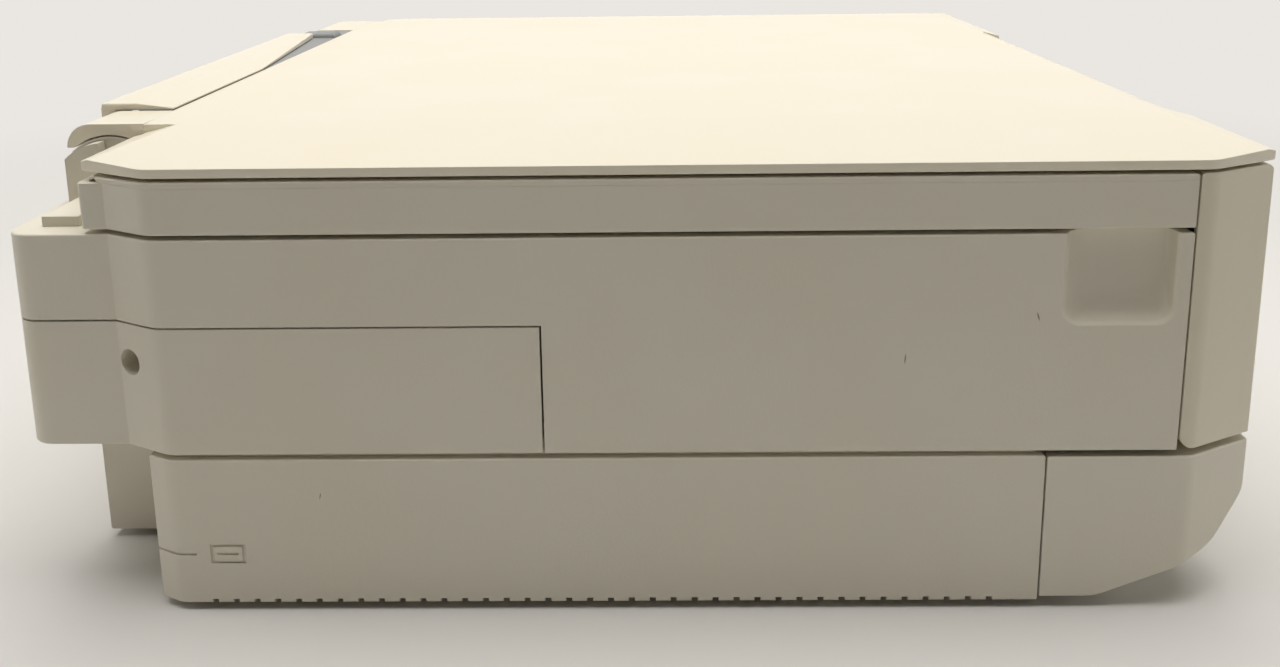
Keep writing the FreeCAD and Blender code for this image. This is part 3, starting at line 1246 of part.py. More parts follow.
def side_frame():
    corners = [(Y_FRAME[0], Z_FRAME[0], 0), (Y_FRAME[1], Z_FRAME[0], 0)]
    corners += [(Y_FRAME[1], Z_FRAME[1], FRAME_R / 2), (Y_FRAME[0], Z_FRAME[1], FRAME_R)]
    plate = side_prism(corners, (FRAME_IN, FRAME_OUT))
    holes = []
    for y in (Y_FEED, Y_EXIT):
        holes.append(rod_x((FRAME_IN - CUT, FRAME_OUT + CUT), y, Z_ROLLER, BUSH_R))
    return plate.cut(holes)


def left_side_frame():
    plate = mirrored(side_frame())
    room = rod_x((-FRAME_OUT - CUT, -FRAME_IN + CUT), Y_PINION, Z_PINION, MOTOR_SHAFT_R + CUT)
    stub = rod_x((GEAR_X[0] - CUT, -FRAME_IN), Y_IDLER, Z_ROLLER, SHAFT_R)
    return join([plate.cut(room), stub])


def roller_bushes():
    solids = []
    for y in (Y_FEED, Y_EXIT):
        body = rod_x((FRAME_IN, FRAME_OUT), y, Z_ROLLER, BUSH_R - RUN_GAP)
        flange = rod_x((FRAME_IN - BUSH_LENGTH, FRAME_IN), y, Z_ROLLER, BUSH_FLANGE_R)
        bore = rod_x((FRAME_IN - BUSH_LENGTH - CUT, FRAME_OUT + CUT), y, Z_ROLLER, SHAFT_R + RUN_GAP)
        bush = join([body, flange]).cut(bore)
        solids += [bush, mirrored(bush)]
    return Part.makeCompound(solids)


nodes["right_side_frame"] = side_frame()
nodes["left_side_frame"] = left_side_frame()
nodes["roller_bushes"] = roller_bushes()


# Feed roller, pinch rollers, exit roller and the gears that tie them together.
def geared_shaft(y, phase):
    """Shaft across both side frames with a gear on its left end."""
    shaft = rod_x((GEAR_X[0], FRAME_OUT + CUT), y, Z_ROLLER, SHAFT_R)
    return join([shaft, gear(FEED_TEETH, phase, GEAR_X, y, Z_ROLLER, SHAFT_R / 2)])


def spaced(pitch, length):
    """The x pairs of equal pieces that are spread over the width of a sheet."""
    count = int((2 * PAPER_HALF - length) / (2 * pitch))
    return [(index * pitch - length / 2, index * pitch + length / 2) for index in range(-count, count + 1)]


def feed_roller():
    barrel = rod_x(both_ways(FRAME_IN - BUSH_LENGTH - SLIDE_GAP), Y_FEED, Z_ROLLER, FEED_R)
    return join([geared_shaft(Y_FEED, FEED_PHASE), barrel])


def exit_roller():
    sleeves = [rod_x(x, Y_EXIT, Z_ROLLER, EXIT_R) for x in spaced(SLEEVE_PITCH, SLEEVE_LENGTH)]
    return join([geared_shaft(Y_EXIT, EXIT_PHASE)] + sleeves)


Z_PINCH = Z_PAPER + PINCH_GAP + PINCH_R


def pinch_rollers():
    shaft_half = PAPER_HALF + EAR_THICKNESS
    shaft = rod_x(both_ways(shaft_half), Y_FEED, Z_PINCH, PINCH_SHAFT_R)
    rollers = [rod_x(x, Y_FEED, Z_PINCH, PINCH_R) for x in spaced(PINCH_PITCH, PINCH_LENGTH)]
    return join([shaft] + rollers)


def pinch_holder():
    y = (Y_FEED + PINCH_R + CUT, Y_FEED + PINCH_R + CUT + HOLDER_DEPTH)
    z = (Z_PINCH - HOLDER_HEIGHT / 2, Z_PINCH + HOLDER_HEIGHT / 2)
    bar = block(both_ways(FRAME_IN), y, z)
    ear_r = 2 * PINCH_SHAFT_R
    ear_x = (PAPER_HALF, PAPER_HALF + EAR_THICKNESS)
    arm = block(ear_x, (Y_FEED, y[0] + CUT), (Z_PINCH - ear_r, Z_PINCH + ear_r))
    ear = join([rod_x(ear_x, Y_FEED, Z_PINCH, ear_r), arm])
    ear = ear.cut(rod_x((ear_x[0] - CUT, ear_x[1] + CUT), Y_FEED, Z_PINCH, PINCH_SHAFT_R + RUN_GAP))
    return join([bar, ear, mirrored(ear)])


FEED_PHASE = 180.0
IDLER_PHASE = mesh_phase(FEED_TEETH, FEED_PHASE, IDLER_TEETH, 180.0)
EXIT_PHASE = mesh_phase(IDLER_TEETH, IDLER_PHASE, FEED_TEETH, 180.0)
PINION_PHASE = mesh_phase(FEED_TEETH, FEED_PHASE, PINION_TEETH, PINION_DIRECTION)


def motor_pinion():
    wheel = gear(PINION_TEETH, PINION_PHASE, GEAR_X, Y_PINION, Z_PINION, MOTOR_SHAFT_R / 2)
    shaft = rod_x((GEAR_X[0], -FRAME_IN + MOTOR_SHAFT_GRIP), Y_PINION, Z_PINION, MOTOR_SHAFT_R)
    return join([wheel, shaft])


def feed_motor():
    x = (-FRAME_IN, -FRAME_IN + FEED_MOTOR_LENGTH)
    can = rod_x(x, Y_PINION, Z_PINION, FEED_MOTOR_R)
    bore = rod_x((x[0] - CUT, x[0] + MOTOR_SHAFT_GRIP + CUT), Y_PINION, Z_PINION, MOTOR_SHAFT_R + RUN_GAP)
    return can.cut(bore)


nodes["feed_roller"] = feed_roller()
nodes["exit_roller"] = exit_roller()
nodes["idler_gear"] = gear(IDLER_TEETH, IDLER_PHASE, GEAR_X, Y_IDLER, Z_ROLLER, SHAFT_R + RUN_GAP)
nodes["motor_pinion"] = motor_pinion()
nodes["feed_motor"] = feed_motor()
nodes["pinch_rollers"] = pinch_rollers()
nodes["pinch_holder"] = pinch_holder()


# Platen under the print head, star wheel bar over the exit roller, and the capping station at the right.
Y_PLATEN = (Y_EXIT + EXIT_R + PLATEN_GAP, Y_FEED - FEED_R - PLATEN_GAP)
Z_PLATEN = Z_PAPER - PLATEN_RIB
CARRIAGE_HOME = FRAME_IN - CARRIAGE_END_GAP - CARRIAGE_WIDTH / 2


def platen():
    beam = block(both_ways(FRAME_IN), Y_PLATEN, (Z_PLATEN - PLATEN_THICKNESS, Z_PLATEN))
    ribs = [block(x, Y_PLATEN, (Z_PLATEN - CUT, Z_PAPER)) for x in spaced(PLATEN_RIB_PITCH, PLATEN_RIB_WIDTH)]
    return join([beam] + ribs)


def star_wheel_bar():
    y = (Y_EXIT - STAR_BAR_DEPTH / 2, Y_EXIT + STAR_BAR_DEPTH / 2)
    wheel_z = Z_PAPER + EXIT_R - FEED_R + STAR_R + SLIDE_GAP
    solids = [block(both_ways(FRAME_IN), y, (wheel_z, wheel_z + STAR_BAR_HEIGHT))]
    for x in spaced(SLEEVE_PITCH, STAR_THICKNESS):
        solids.append(rod_x(x, Y_EXIT, wheel_z, STAR_R))
    return join(solids)


def capping_station():
    x = (CARRIAGE_HOME - CAP_HALF, CARRIAGE_HOME + CAP_HALF)
    cap = block(x, Y_PLATEN, (Z_PLATEN, Z_PLATEN + CAP_HEIGHT))
    hollow_x = (x[0] + CARRIAGE_WALL, x[1] - CARRIAGE_WALL)
    hollow_y = (Y_PLATEN[0] + CARRIAGE_WALL, Y_PLATEN[1] - CARRIAGE_WALL)
    return cap.cut(block(hollow_x, hollow_y, (Z_PLATEN + CARRIAGE_WALL, Z_PLATEN + CAP_HEIGHT + CUT)))


nodes["platen"] = platen()
nodes["star_wheel_bar"] = star_wheel_bar()
nodes["capping_station"] = capping_station()


# Carriage rail with the belt drive in front of it.
Y_CARRIAGE = (Y_PLATEN[0] - CARRIAGE_FRONT + HOLDER_DEPTH, Y_FEED + CARRIAGE_BACK)
Y_RAIL = Y_CARRIAGE[1] + RAIL_SETBACK
Z_RAIL = (Z_PAPER + RAIL_LIFT, Z_PAPER + RAIL_LIFT + RAIL_HEIGHT)
Z_PULLEY = (Z_RAIL[0] + Z_RAIL[1]) / 2
PULLEY_X = FRAME_IN - PULLEY_INSET
Y_PULLEY = (Y_RAIL - PULLEY_STANDOFF - PULLEY_WIDTH, Y_RAIL - PULLEY_STANDOFF)


def carriage_rail():
    x = both_ways(FRAME_IN)
    web = block(x, (Y_RAIL, Y_RAIL + SHEET_STEEL), Z_RAIL)
    lower = block(x, (Y_RAIL, Y_RAIL + RAIL_DEPTH), (Z_RAIL[0], Z_RAIL[0] + SHEET_STEEL))
    upper = block(x, (Y_RAIL, Y_RAIL + RAIL_DEPTH), (Z_RAIL[1] - SHEET_STEEL, Z_RAIL[1]))
    hole = rod_y(PULLEY_X, (Y_RAIL - CUT, Y_RAIL + SHEET_STEEL + CUT), Z_PULLEY, MOTOR_SHAFT_R + CUT)
    pin = rod_y(-PULLEY_X, (Y_PULLEY[0] - CUT, Y_RAIL + SHEET_STEEL), Z_PULLEY, SHAFT_R / 2)
    return join([join([web, lower, upper]).cut(hole), pin])


def pulley(x, bore):
    barrel = rod_y(x, Y_PULLEY, Z_PULLEY, PULLEY_R)
    near = rod_y(x, (Y_PULLEY[0], Y_PULLEY[0] + PULLEY_FLANGE), Z_PULLEY, PULLEY_FLANGE_R)
    far = rod_y(x, (Y_PULLEY[1] - PULLEY_FLANGE, Y_PULLEY[1]), Z_PULLEY, PULLEY_FLANGE_R)
    wheel = join([barrel, near, far])
    if bore == 0:
        return wheel
    return wheel.cut(rod_y(x, (Y_PULLEY[0] - CUT, Y_PULLEY[1] + CUT), Z_PULLEY, bore))


def drive_pulley():
    shaft = rod_y(PULLEY_X, (Y_PULLEY[0], Y_RAIL + SHEET_STEEL + MOTOR_SHAFT_GRIP), Z_PULLEY, MOTOR_SHAFT_R)
    return join([pulley(PULLEY_X, 0), shaft])


def carriage_motor():
    y = (Y_RAIL + SHEET_STEEL, Y_RAIL + SHEET_STEEL + CARRIAGE_MOTOR_LENGTH)
    can = rod_y(PULLEY_X, y, Z_PULLEY, CARRIAGE_MOTOR_R)
    bore_y = (y[0] - CUT, y[0] + MOTOR_SHAFT_GRIP + CUT)
    return can.cut(rod_y(PULLEY_X, bore_y, Z_PULLEY, MOTOR_SHAFT_R + RUN_GAP))


def belt_loop(radius, y):
    runs = block(both_ways(PULLEY_X), y, (Z_PULLEY - radius, Z_PULLEY + radius))
    return join([runs, rod_y(PULLEY_X, y, Z_PULLEY, radius), rod_y(-PULLEY_X, y, Z_PULLEY, radius)])


BELT_Y = (Y_PULLEY[0] + PULLEY_FLANGE + BELT_GAP, Y_PULLEY[1] - PULLEY_FLANGE - BELT_GAP)
BELT_INNER_R = PULLEY_R + BELT_GAP
BELT_OUTER_R = BELT_INNER_R + BELT_THICKNESS


def timing_belt():
    return belt_loop(BELT_OUTER_R, BELT_Y).cut(belt_loop(BELT_INNER_R, (BELT_Y[0] - CUT, BELT_Y[1] + CUT)))


nodes["carriage_rail"] = carriage_rail()
nodes["drive_pulley"] = drive_pulley()
nodes["idler_pulley"] = pulley(-PULLEY_X, SHAFT_R / 2 + RUN_GAP)
nodes["carriage_motor"] = carriage_motor()
nodes["timing_belt"] = timing_belt()


# Print carriage at its home on the right: an open box with the ink cartridges, the head under it and a cover.
Z_CARRIAGE = (Z_PAPER + CARRIAGE_LIFT, Z_PAPER + CARRIAGE_LIFT + CARRIAGE_HEIGHT)
CARRIAGE_X = (CARRIAGE_HOME - CARRIAGE_WIDTH / 2, CARRIAGE_HOME + CARRIAGE_WIDTH / 2)
INK_X = (CARRIAGE_X[0] + CARRIAGE_WALL, CARRIAGE_X[1] - CARRIAGE_WALL)
INK_Y = (Y_CARRIAGE[0] + CARRIAGE_WALL, Y_CARRIAGE[1] - CARRIAGE_WALL)


def print_carriage():
    hollow = block(INK_X, INK_Y, (Z_CARRIAGE[0] + CARRIAGE_WALL, Z_CARRIAGE[1] + CUT))
    box = block(CARRIAGE_X, Y_CARRIAGE, Z_CARRIAGE).cut(hollow)
    clamp_x = (CARRIAGE_HOME - CLAMP_WIDTH / 2, CARRIAGE_HOME + CLAMP_WIDTH / 2)
    run_z = (Z_PULLEY - BELT_OUTER_R - BELT_GAP, Z_PULLEY - BELT_INNER_R + BELT_GAP)
    clamp_z = ((run_z[0] + run_z[1] - CLAMP_HEIGHT) / 2, (run_z[0] + run_z[1] + CLAMP_HEIGHT) / 2)
    clamp = block(clamp_x, (Y_CARRIAGE[1] - CUT, BELT_Y[1]), clamp_z)
    slot = block(clamp_x, (BELT_Y[0] - BELT_GAP, BELT_Y[1] + CUT), run_z)
    shoe_z = (Z_RAIL[1] + SLIDE_GAP, Z_RAIL[1] + SLIDE_GAP + SHOE_THICKNESS)
    shoe = block(clamp_x, (Y_CARRIAGE[1] - CARRIAGE_WALL, Y_RAIL + RAIL_DEPTH / 2), shoe_z)
    post = block(clamp_x, (Y_CARRIAGE[1] - CARRIAGE_WALL, Y_CARRIAGE[1]), (Z_CARRIAGE[1] - CUT, shoe_z[1]))
    return join([box, clamp.cut(slot), post, shoe])


def ink_cartridges():
    pitch = (INK_X[1] - INK_X[0]) / INK_COUNT
    y = (INK_Y[0] + INK_GAP, INK_Y[1] - INK_GAP)
    low = Z_CARRIAGE[0] + CARRIAGE_WALL
    solids = []
    for index in range(INK_COUNT):
        start = INK_X[0] + index * pitch
        solids.append(block((start + INK_GAP / 2, start + pitch - INK_GAP / 2), y, (low, low + INK_HEIGHT)))
    return Part.makeCompound(solids)


def print_head():
    middle = (Y_PLATEN[0] + Y_PLATEN[1]) / 2
    x = (CARRIAGE_HOME - HEAD_HALF, CARRIAGE_HOME + HEAD_HALF)
    return block(x, (middle - HEAD_DEPTH / 2, middle + HEAD_DEPTH / 2), (Z_PAPER + HEAD_GAP, Z_CARRIAGE[0]))


def carriage_cover():
    y = (Y_CARRIAGE[0], Y_CARRIAGE[1] - CARRIAGE_WALL - SLIDE_GAP)
    return block(CARRIAGE_X, y, (Z_CARRIAGE[1], Z_CARRIAGE[1] + CARRIAGE_COVER))


nodes["print_carriage"] = print_carriage()
nodes["ink_cartridges"] = ink_cartridges()
nodes["print_head"] = print_head()
nodes["carriage_cover"] = carriage_cover()


# Electrics in the lower housing: main board, power supply and sockets.
def main_board():
    outer = -HALF + WALL + BOARD_STANDOFF
    x = (outer, outer + BOARD_THICKNESS)
    y = (Y_BASE_FRONT + BOARD_FRONT, Y_BASE_BACK - BOARD_BACK)
    board = block(x, y, (Z_FLOOR, Z_FLOOR + BOARD_HEIGHT))
    chip = BOARD_HEIGHT / 3
    chips = []
    for share in (0.2, 0.5, 0.8):
        middle = y[0] + (y[1] - y[0]) * share
        chip_z = (Z_FLOOR + chip, Z_FLOOR + 2 * chip)
        chips.append(block((x[1] - CUT, x[1] + CUT), (middle - chip / 2, middle + chip / 2), chip_z))
    return join([board] + chips)


def socket(size, side):
    x, y, z = socket_place(size, side)
    mouth_x = (x[0] + SOCKET_WALL, x[1] - SOCKET_WALL)
    mouth_z = (z[0] + SOCKET_WALL, z[1] - SOCKET_WALL)
    shell = block(x, y, z).cut(block(mouth_x, (y[0] + 2 * SOCKET_WALL, y[1] + CUT), mouth_z))
    middle_x = (x[0] + x[1]) / 2
    middle_z = (z[0] + z[1]) / 2
    contact = block(
        (middle_x - size[0] / 5, middle_x + size[0] / 5),
        (y[0] + SOCKET_WALL, y[1] - SOCKET_MOUTH),
        (middle_z - SOCKET_WALL / 2, middle_z + SOCKET_WALL / 2),
    )
    return join([shell, contact])


supply_x = (FRAME_OUT + SUPPLY_GAP, HALF - WALL - SUPPLY_GAP)
supply_y = (Y_BASE_FRONT + WALL + SUPPLY_FRONT, Y_BASE_FRONT + WALL + SUPPLY_FRONT + SUPPLY_LENGTH)
nodes["main_board"] = main_board()
nodes["power_supply"] = block(supply_x, supply_y, (Z_FLOOR, Z_FLOOR + SUPPLY_HEIGHT))
nodes["data_socket"] = socket(DATA_SOCKET, -1)
nodes["power_inlet"] = socket(POWER_SOCKET, 1)


os.makedirs("parts", exist_ok=True)
for name, shape in nodes.items():
    shape.exportStep("parts/" + name + ".step")
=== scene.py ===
import math

import bmesh
import bpy
from mathutils import Matrix, Vector


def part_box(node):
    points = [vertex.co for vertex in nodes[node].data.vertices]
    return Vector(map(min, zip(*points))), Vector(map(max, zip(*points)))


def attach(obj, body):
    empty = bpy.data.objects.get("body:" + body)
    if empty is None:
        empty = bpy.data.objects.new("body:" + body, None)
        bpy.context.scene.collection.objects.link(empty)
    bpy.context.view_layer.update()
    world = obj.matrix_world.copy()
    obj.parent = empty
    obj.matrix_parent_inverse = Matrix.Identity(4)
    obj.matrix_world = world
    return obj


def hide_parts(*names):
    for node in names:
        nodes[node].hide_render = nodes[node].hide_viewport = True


# All-in-one inkjet printer: the looks of a scanner over a printing unit with a paper cassette.
# Metres, in the frame of the part: the front is towards -Y, +X is its right as seen from there, +Z is up.
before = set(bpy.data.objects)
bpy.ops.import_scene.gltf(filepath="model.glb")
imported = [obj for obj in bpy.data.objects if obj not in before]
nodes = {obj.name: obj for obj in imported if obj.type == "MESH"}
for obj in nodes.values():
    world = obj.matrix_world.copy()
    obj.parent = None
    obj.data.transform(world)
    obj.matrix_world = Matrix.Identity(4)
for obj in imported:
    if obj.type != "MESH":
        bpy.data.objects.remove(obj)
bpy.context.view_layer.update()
MM = 0.001


# Casings: the housings, rear cover, scanner case and bezel, hinge pedestals, duplex unit, and the
# fronts of the cassette and of the paper exit. Injection-moulded ABS, held by snaps and screws and
# aged to a warm white.
CASING_COLOUR = "#E4DFD1"
CASING_AGED = "#E0D8C4"
AGEING_PATCH = 70 * MM
GRAIN_SIZE = 0.9 * MM
GRAIN_DEPTH = 0.05 * MM
MOULD_EDGE_R = 0.5 * MM
ABS_IOR = 1.53
SCUFF_COLOUR = "#6B4A3A"
SCUFF_STRENGTH = 0.75
SCUFF_CORE = 0.4
SCUFF_REACH = 4 * MM
SCUFFS = [
    {"at": (-223 * MM, -120.6 * MM, 96.3 * MM), "long": 1.7 * MM, "wide": 0.35 * MM, "lean": -18},
    {"at": (-223 * MM, -81.5 * MM, 83.2 * MM), "long": 2.0 * MM, "wide": 0.3 * MM, "lean": 4},
    {"at": (-223 * MM, 98.1 * MM, 39.2 * MM), "long": 1.4 * MM, "wide": 0.25 * MM, "lean": 12},
]

# Sockets of a colour Mix node, by number because its other types have sockets of the same names.
FACTOR = 0
FIRST = 6
SECOND = 7
MIXED = 2


def linear(hex_colour):
    """The linear RGBA of an sRGB hex value."""
    channels = [int(hex_colour[start:start + 2], 16) / 255 for start in (1, 3, 5)]
    return [c / 12.92 if c <= 0.04045 else ((c + 0.055) / 1.055) ** 2.4 for c in channels] + [1.0]


def add(material, kind, inputs, **settings):
    """Adds a shader node, with its settings, and its inputs as values or as links."""
    node = material.node_tree.nodes.new("ShaderNode" + kind)
    for name, value in settings.items():
        setattr(node, name, value)
    for socket, value in inputs.items():
        if isinstance(value, bpy.types.NodeSocket):
            material.node_tree.links.new(value, node.inputs[socket])
        else:
            node.inputs[socket].default_value = value
    return node


def link(material, output, shader, socket):
    """Links an output to a socket of a shader."""
    material.node_tree.links.new(output, shader.inputs[socket])


def new_finish(name, sockets):
    """A material with one principled shader, whose constant sockets are set by name."""
    material = bpy.data.materials.new(name)
    material.use_nodes = True
    shader = material.node_tree.nodes["Principled BSDF"]
    for socket, value in sockets.items():
        shader.inputs[socket].default_value = value
    return material, shader


def moulded(name, colour, second, patch, grain, depth, gloss, sockets):
    """A moulded plastic: two tones in soft patches, rounded edges, a fine grain, and gloss that varies."""
    material, shader = new_finish(name, sockets)
    place = add(material, "TexCoord", {}, name="place").outputs["Object"]
    patches = add(material, "TexNoise", {"Vector": place, "Scale": 1 / patch, "Detail": 3.0}).outputs[0]
    tone = add(material, "Mix", {FACTOR: patches, FIRST: linear(colour), SECOND: linear(second)},
               data_type="RGBA", name="tone")
    link(material, tone.outputs[MIXED], shader, "Base Color")
    pits = add(material, "TexNoise", {"Vector": place, "Scale": 1 / grain, "Detail": 2.0}).outputs[0]
    rounded = add(material, "Bevel", {"Radius": MOULD_EDGE_R}, samples=4).outputs[0]
    bump = add(material, "Bump", {"Height": pits, "Strength": 1.0, "Distance": depth, "Normal": rounded})
    link(material, bump.outputs[0], shader, "Normal")
    shine = add(material, "MapRange", {"Value": patches, "To Min": gloss[0], "To Max": gloss[1]})
    link(material, shine.outputs[0], shader, "Roughness")
    return material


def dress(material, *names):
    """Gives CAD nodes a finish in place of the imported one."""
    for name in names:
        mesh = nodes[name].data
        mesh.materials.clear()
        mesh.materials.append(material)


# Spark-eroded ABS: the grain breaks the highlight into a soft sheen. It is drawn at about twice its
# real size so that it shows. A few brown scuffs mark the left side.
casing_abs = moulded("spark_eroded_abs", CASING_COLOUR, CASING_AGED, patch=AGEING_PATCH, grain=GRAIN_SIZE,
                     depth=GRAIN_DEPTH, gloss=(0.40, 0.50), sockets={"IOR": ABS_IOR})
casing_nodes = casing_abs.node_tree.nodes
casing_colour = casing_nodes["tone"].outputs[MIXED]
for scuff in SCUFFS:
    spot = add(casing_abs, "Mapping", {
        "Vector": casing_nodes["place"].outputs["Object"],
        "Location": scuff["at"],
        "Rotation": (math.radians(scuff["lean"]), 0, 0),
        "Scale": (SCUFF_REACH, scuff["wide"], scuff["long"]),
    }, vector_type="TEXTURE")
    away = add(casing_abs, "VectorMath", {0: spot.outputs[0]}, operation="LENGTH").outputs["Value"]
    worn = add(casing_abs, "MapRange", {"Value": away, "From Min": SCUFF_CORE, "From Max": 1.0,
                                        "To Min": SCUFF_STRENGTH, "To Max": 0.0}).outputs[0]
    scuffed = add(casing_abs, "Mix", {FACTOR: worn, FIRST: casing_colour, SECOND: linear(SCUFF_COLOUR)},
                  data_type="RGBA")
    casing_colour = scuffed.outputs[MIXED]
link(casing_abs, casing_colour, casing_nodes["Principled BSDF"], "Base Color")
dress(casing_abs, "lower_housing", "upper_housing", "rear_lower_cover", "scanner_case", "scanner_bezel",
      "hinge_pedestals", "duplex_unit", "cassette_front", "front_bezel")


# Document lid, its hinge arms and the rear flap: smooth ABS mouldings in a creamier white than the
# casing. Their satin polish mirrors the light above as a broad glow, over a faint ripple.
LID_COLOUR = "#F2EBDA"
LID_AGED = "#EFE5CC"
LID_RIPPLE = 14 * MM
LID_RIPPLE_DEPTH = 0.02 * MM
lid_abs = moulded("satin_abs", LID_COLOUR, LID_AGED, patch=AGEING_PATCH, grain=LID_RIPPLE,
                  depth=LID_RIPPLE_DEPTH, gloss=(0.26, 0.36), sockets={"IOR": ABS_IOR})
dress(lid_abs, "document_lid", "lid_hinge_arms", "rear_flap")


# Control panel: an ABS shell with a back plate snapped into it. It has yellowed more than the casing,
# and its satin skin gives a softer glow than the lid's.
PANEL_COLOUR = "#E6DFCB"
PANEL_AGED = "#E2D8BE"
panel_abs = moulded("yellowed_satin_abs", PANEL_COLOUR, PANEL_AGED, patch=AGEING_PATCH, grain=LID_RIPPLE,
                    depth=LID_RIPPLE_DEPTH, gloss=(0.28, 0.38), sockets={"IOR": ABS_IOR})
dress(panel_abs, "panel_shell", "panel_back")


# Grey mouldings: the trays, paper guides, buttons, panel brackets and the flap's barrel. They are
# made of ABS in a neutral grey, and their grain leaves them evenly matt.
GREY_COLOUR = "#8E908F"
GREY_SECOND = "#888A8B"
grey_abs = moulded("grained_grey_abs", GREY_COLOUR, GREY_SECOND, patch=AGEING_PATCH, grain=GRAIN_SIZE,
                   depth=GRAIN_DEPTH, gloss=(0.42, 0.52), sockets={"IOR": ABS_IOR})
dress(grey_abs, "cassette_tray", "photo_tray", "output_tray", "left_paper_guide", "right_paper_guide",
      "length_guide", "panel_brackets", "flap_barrel",
      "power_button", "home_button", "stop_button", "start_button")


# Dark mouldings of the mechanism: platen, carriage, holders, sockets and bars, screwed or clipped to
# the frame. They are moulded in glass-filled black plastic, whose fibres leave a dull mottled skin.
DARK_COLOUR = "#2B2C2E"
DARK_SECOND = "#343538"
FIBRE_PATCH = 6 * MM
dark_plastic = moulded("glass_filled_plastic", DARK_COLOUR, DARK_SECOND, patch=FIBRE_PATCH,
                       grain=GRAIN_SIZE, depth=GRAIN_DEPTH, gloss=(0.42, 0.58), sockets={"IOR": 1.55})
dress(dark_plastic, "pinch_holder", "platen", "star_wheel_bar", "capping_station", "print_carriage",
      "ink_cartridges", "print_head", "carriage_cover", "scan_bar",
      "data_socket", "power_inlet", "power_supply")


# Gears, pulleys and bushes: small mouldings in natural acetal, pressed on their shafts. Light goes a
# little way into it, which makes it milky, with a waxy shine.
ACETAL_COLOUR = "#EFEDE4"
ACETAL_SECOND = "#E8E5D8"
ACETAL_PATCH = 8 * MM
ACETAL_RIPPLE = 3 * MM
ACETAL_RIPPLE_DEPTH = 0.01 * MM
acetal = moulded("moulded_acetal", ACETAL_COLOUR, ACETAL_SECOND, patch=ACETAL_PATCH, grain=ACETAL_RIPPLE,
                 depth=ACETAL_RIPPLE_DEPTH, gloss=(0.28, 0.36),
                 sockets={"IOR": 1.48, "Subsurface Weight": 0.15, "Subsurface Scale": 1.0 * MM})
dress(acetal, "idler_gear", "motor_pinion", "drive_pulley", "idler_pulley", "roller_bushes")


# Side frames, carriage rail and motors: pressed from sheet steel and zinc plated, then screwed to the
# base. The crystals of the zinc show as a faint spangle.
ZINC_COLOUR = "#B8BBBD"
ZINC_SECOND = "#A3A7AA"
SPANGLE_SIZE = 5 * MM
zinc_steel, zinc_shader = new_finish("zinc_plated_steel", {"Metallic": 1.0})
zinc_place = add(zinc_steel, "TexCoord", {}).outputs["Object"]
crystals = add(zinc_steel, "TexVoronoi", {"Vector": zinc_place, "Scale": 1 / SPANGLE_SIZE})
spangle = crystals.outputs["Distance"]
zinc_tone = add(zinc_steel, "Mix", {FACTOR: spangle, FIRST: linear(ZINC_COLOUR),
                                    SECOND: linear(ZINC_SECOND)}, data_type="RGBA")
link(zinc_steel, zinc_tone.outputs[MIXED], zinc_shader, "Base Color")
zinc_shine = add(zinc_steel, "MapRange", {"Value": spangle, "To Min": 0.28, "To Max": 0.42})
link(zinc_steel, zinc_shine.outputs[0], zinc_shader, "Roughness")
dress(zinc_steel, "left_side_frame", "right_side_frame", "carriage_rail", "carriage_motor", "feed_motor")


# Shafts and pins: the feed and exit rollers, the scanner's guide rod and the panel's hinge pins,
# turned from steel and ground. Bright, with rings from the grinding, which are drawn coarse so that
# they show.
GROUND_COLOUR = "#CACCCD"
GROUND_SECOND = "#B4B7B9"
GRINDING_RING = 5 * MM
WAVE_RADIANS = 20
ring_scale = 2 * math.pi / (WAVE_RADIANS * GRINDING_RING)
ground_steel, ground_shader = new_finish("ground_steel", {"Metallic": 1.0})
ground_place = add(ground_steel, "TexCoord", {}).outputs["Object"]
rings = add(ground_steel, "TexWave", {"Vector": ground_place, "Scale": ring_scale, "Distortion": 2.0,
                                      "Detail": 2.0}, bands_direction="X").outputs["Fac"]
ground_tone = add(ground_steel, "Mix", {FACTOR: rings, FIRST: linear(GROUND_COLOUR),
                                        SECOND: linear(GROUND_SECOND)}, data_type="RGBA")
link(ground_steel, ground_tone.outputs[MIXED], ground_shader, "Base Color")
ground_shine = add(ground_steel, "MapRange", {"Value": rings, "To Min": 0.16, "To Max": 0.26})
link(ground_steel, ground_shine.outputs[0], ground_shader, "Roughness")
dress(ground_steel, "scan_guide_rod", "panel_hinge_pins", "feed_roller", "exit_roller")


# Rubber pieces: the feet, the pinch and duplex rollers and the timing belt, all moulded in black
# rubber. Matt, with a dusty bloom.
RUBBER_COLOUR = "#3A3A3A"
RUBBER_BLOOM = "#454442"
BLOOM_PATCH = 9 * MM
RUBBER_GRAIN = 0.7 * MM
RUBBER_GRAIN_DEPTH = 0.06 * MM
rubber = moulded("black_rubber", RUBBER_COLOUR, RUBBER_BLOOM, patch=BLOOM_PATCH, grain=RUBBER_GRAIN,
                 depth=RUBBER_GRAIN_DEPTH, gloss=(0.75, 0.9), sockets={"IOR": 1.52})
dress(rubber, "rubber_feet", "pinch_rollers", "duplex_roller", "timing_belt")


# Scanner glass: a plate of clear float glass, glued under the scanner's bezel. It is faintly green,
# and shows the smears that wiping leaves.
GLASS_COLOUR = "#EDF5F2"
SMEAR_SIZE = 45 * MM
float_glass, glass_shader = new_finish("float_glass", {
    "Base Color": linear(GLASS_COLOUR), "Transmission Weight": 1.0, "IOR": 1.52})
glass_place = add(float_glass, "TexCoord", {}).outputs["Object"]
smears = add(float_glass, "TexNoise", {"Vector": glass_place, "Scale": 1 / SMEAR_SIZE, "Detail": 6.0})
glass_shine = add(float_glass, "MapRange", {"Value": smears.outputs[0], "From Min": 0.45, "From Max": 0.75,
                                            "To Min": 0.0, "To Max": 0.08})
link(float_glass, glass_shine.outputs[0], glass_shader, "Roughness")
dress(float_glass, "scanner_glass")


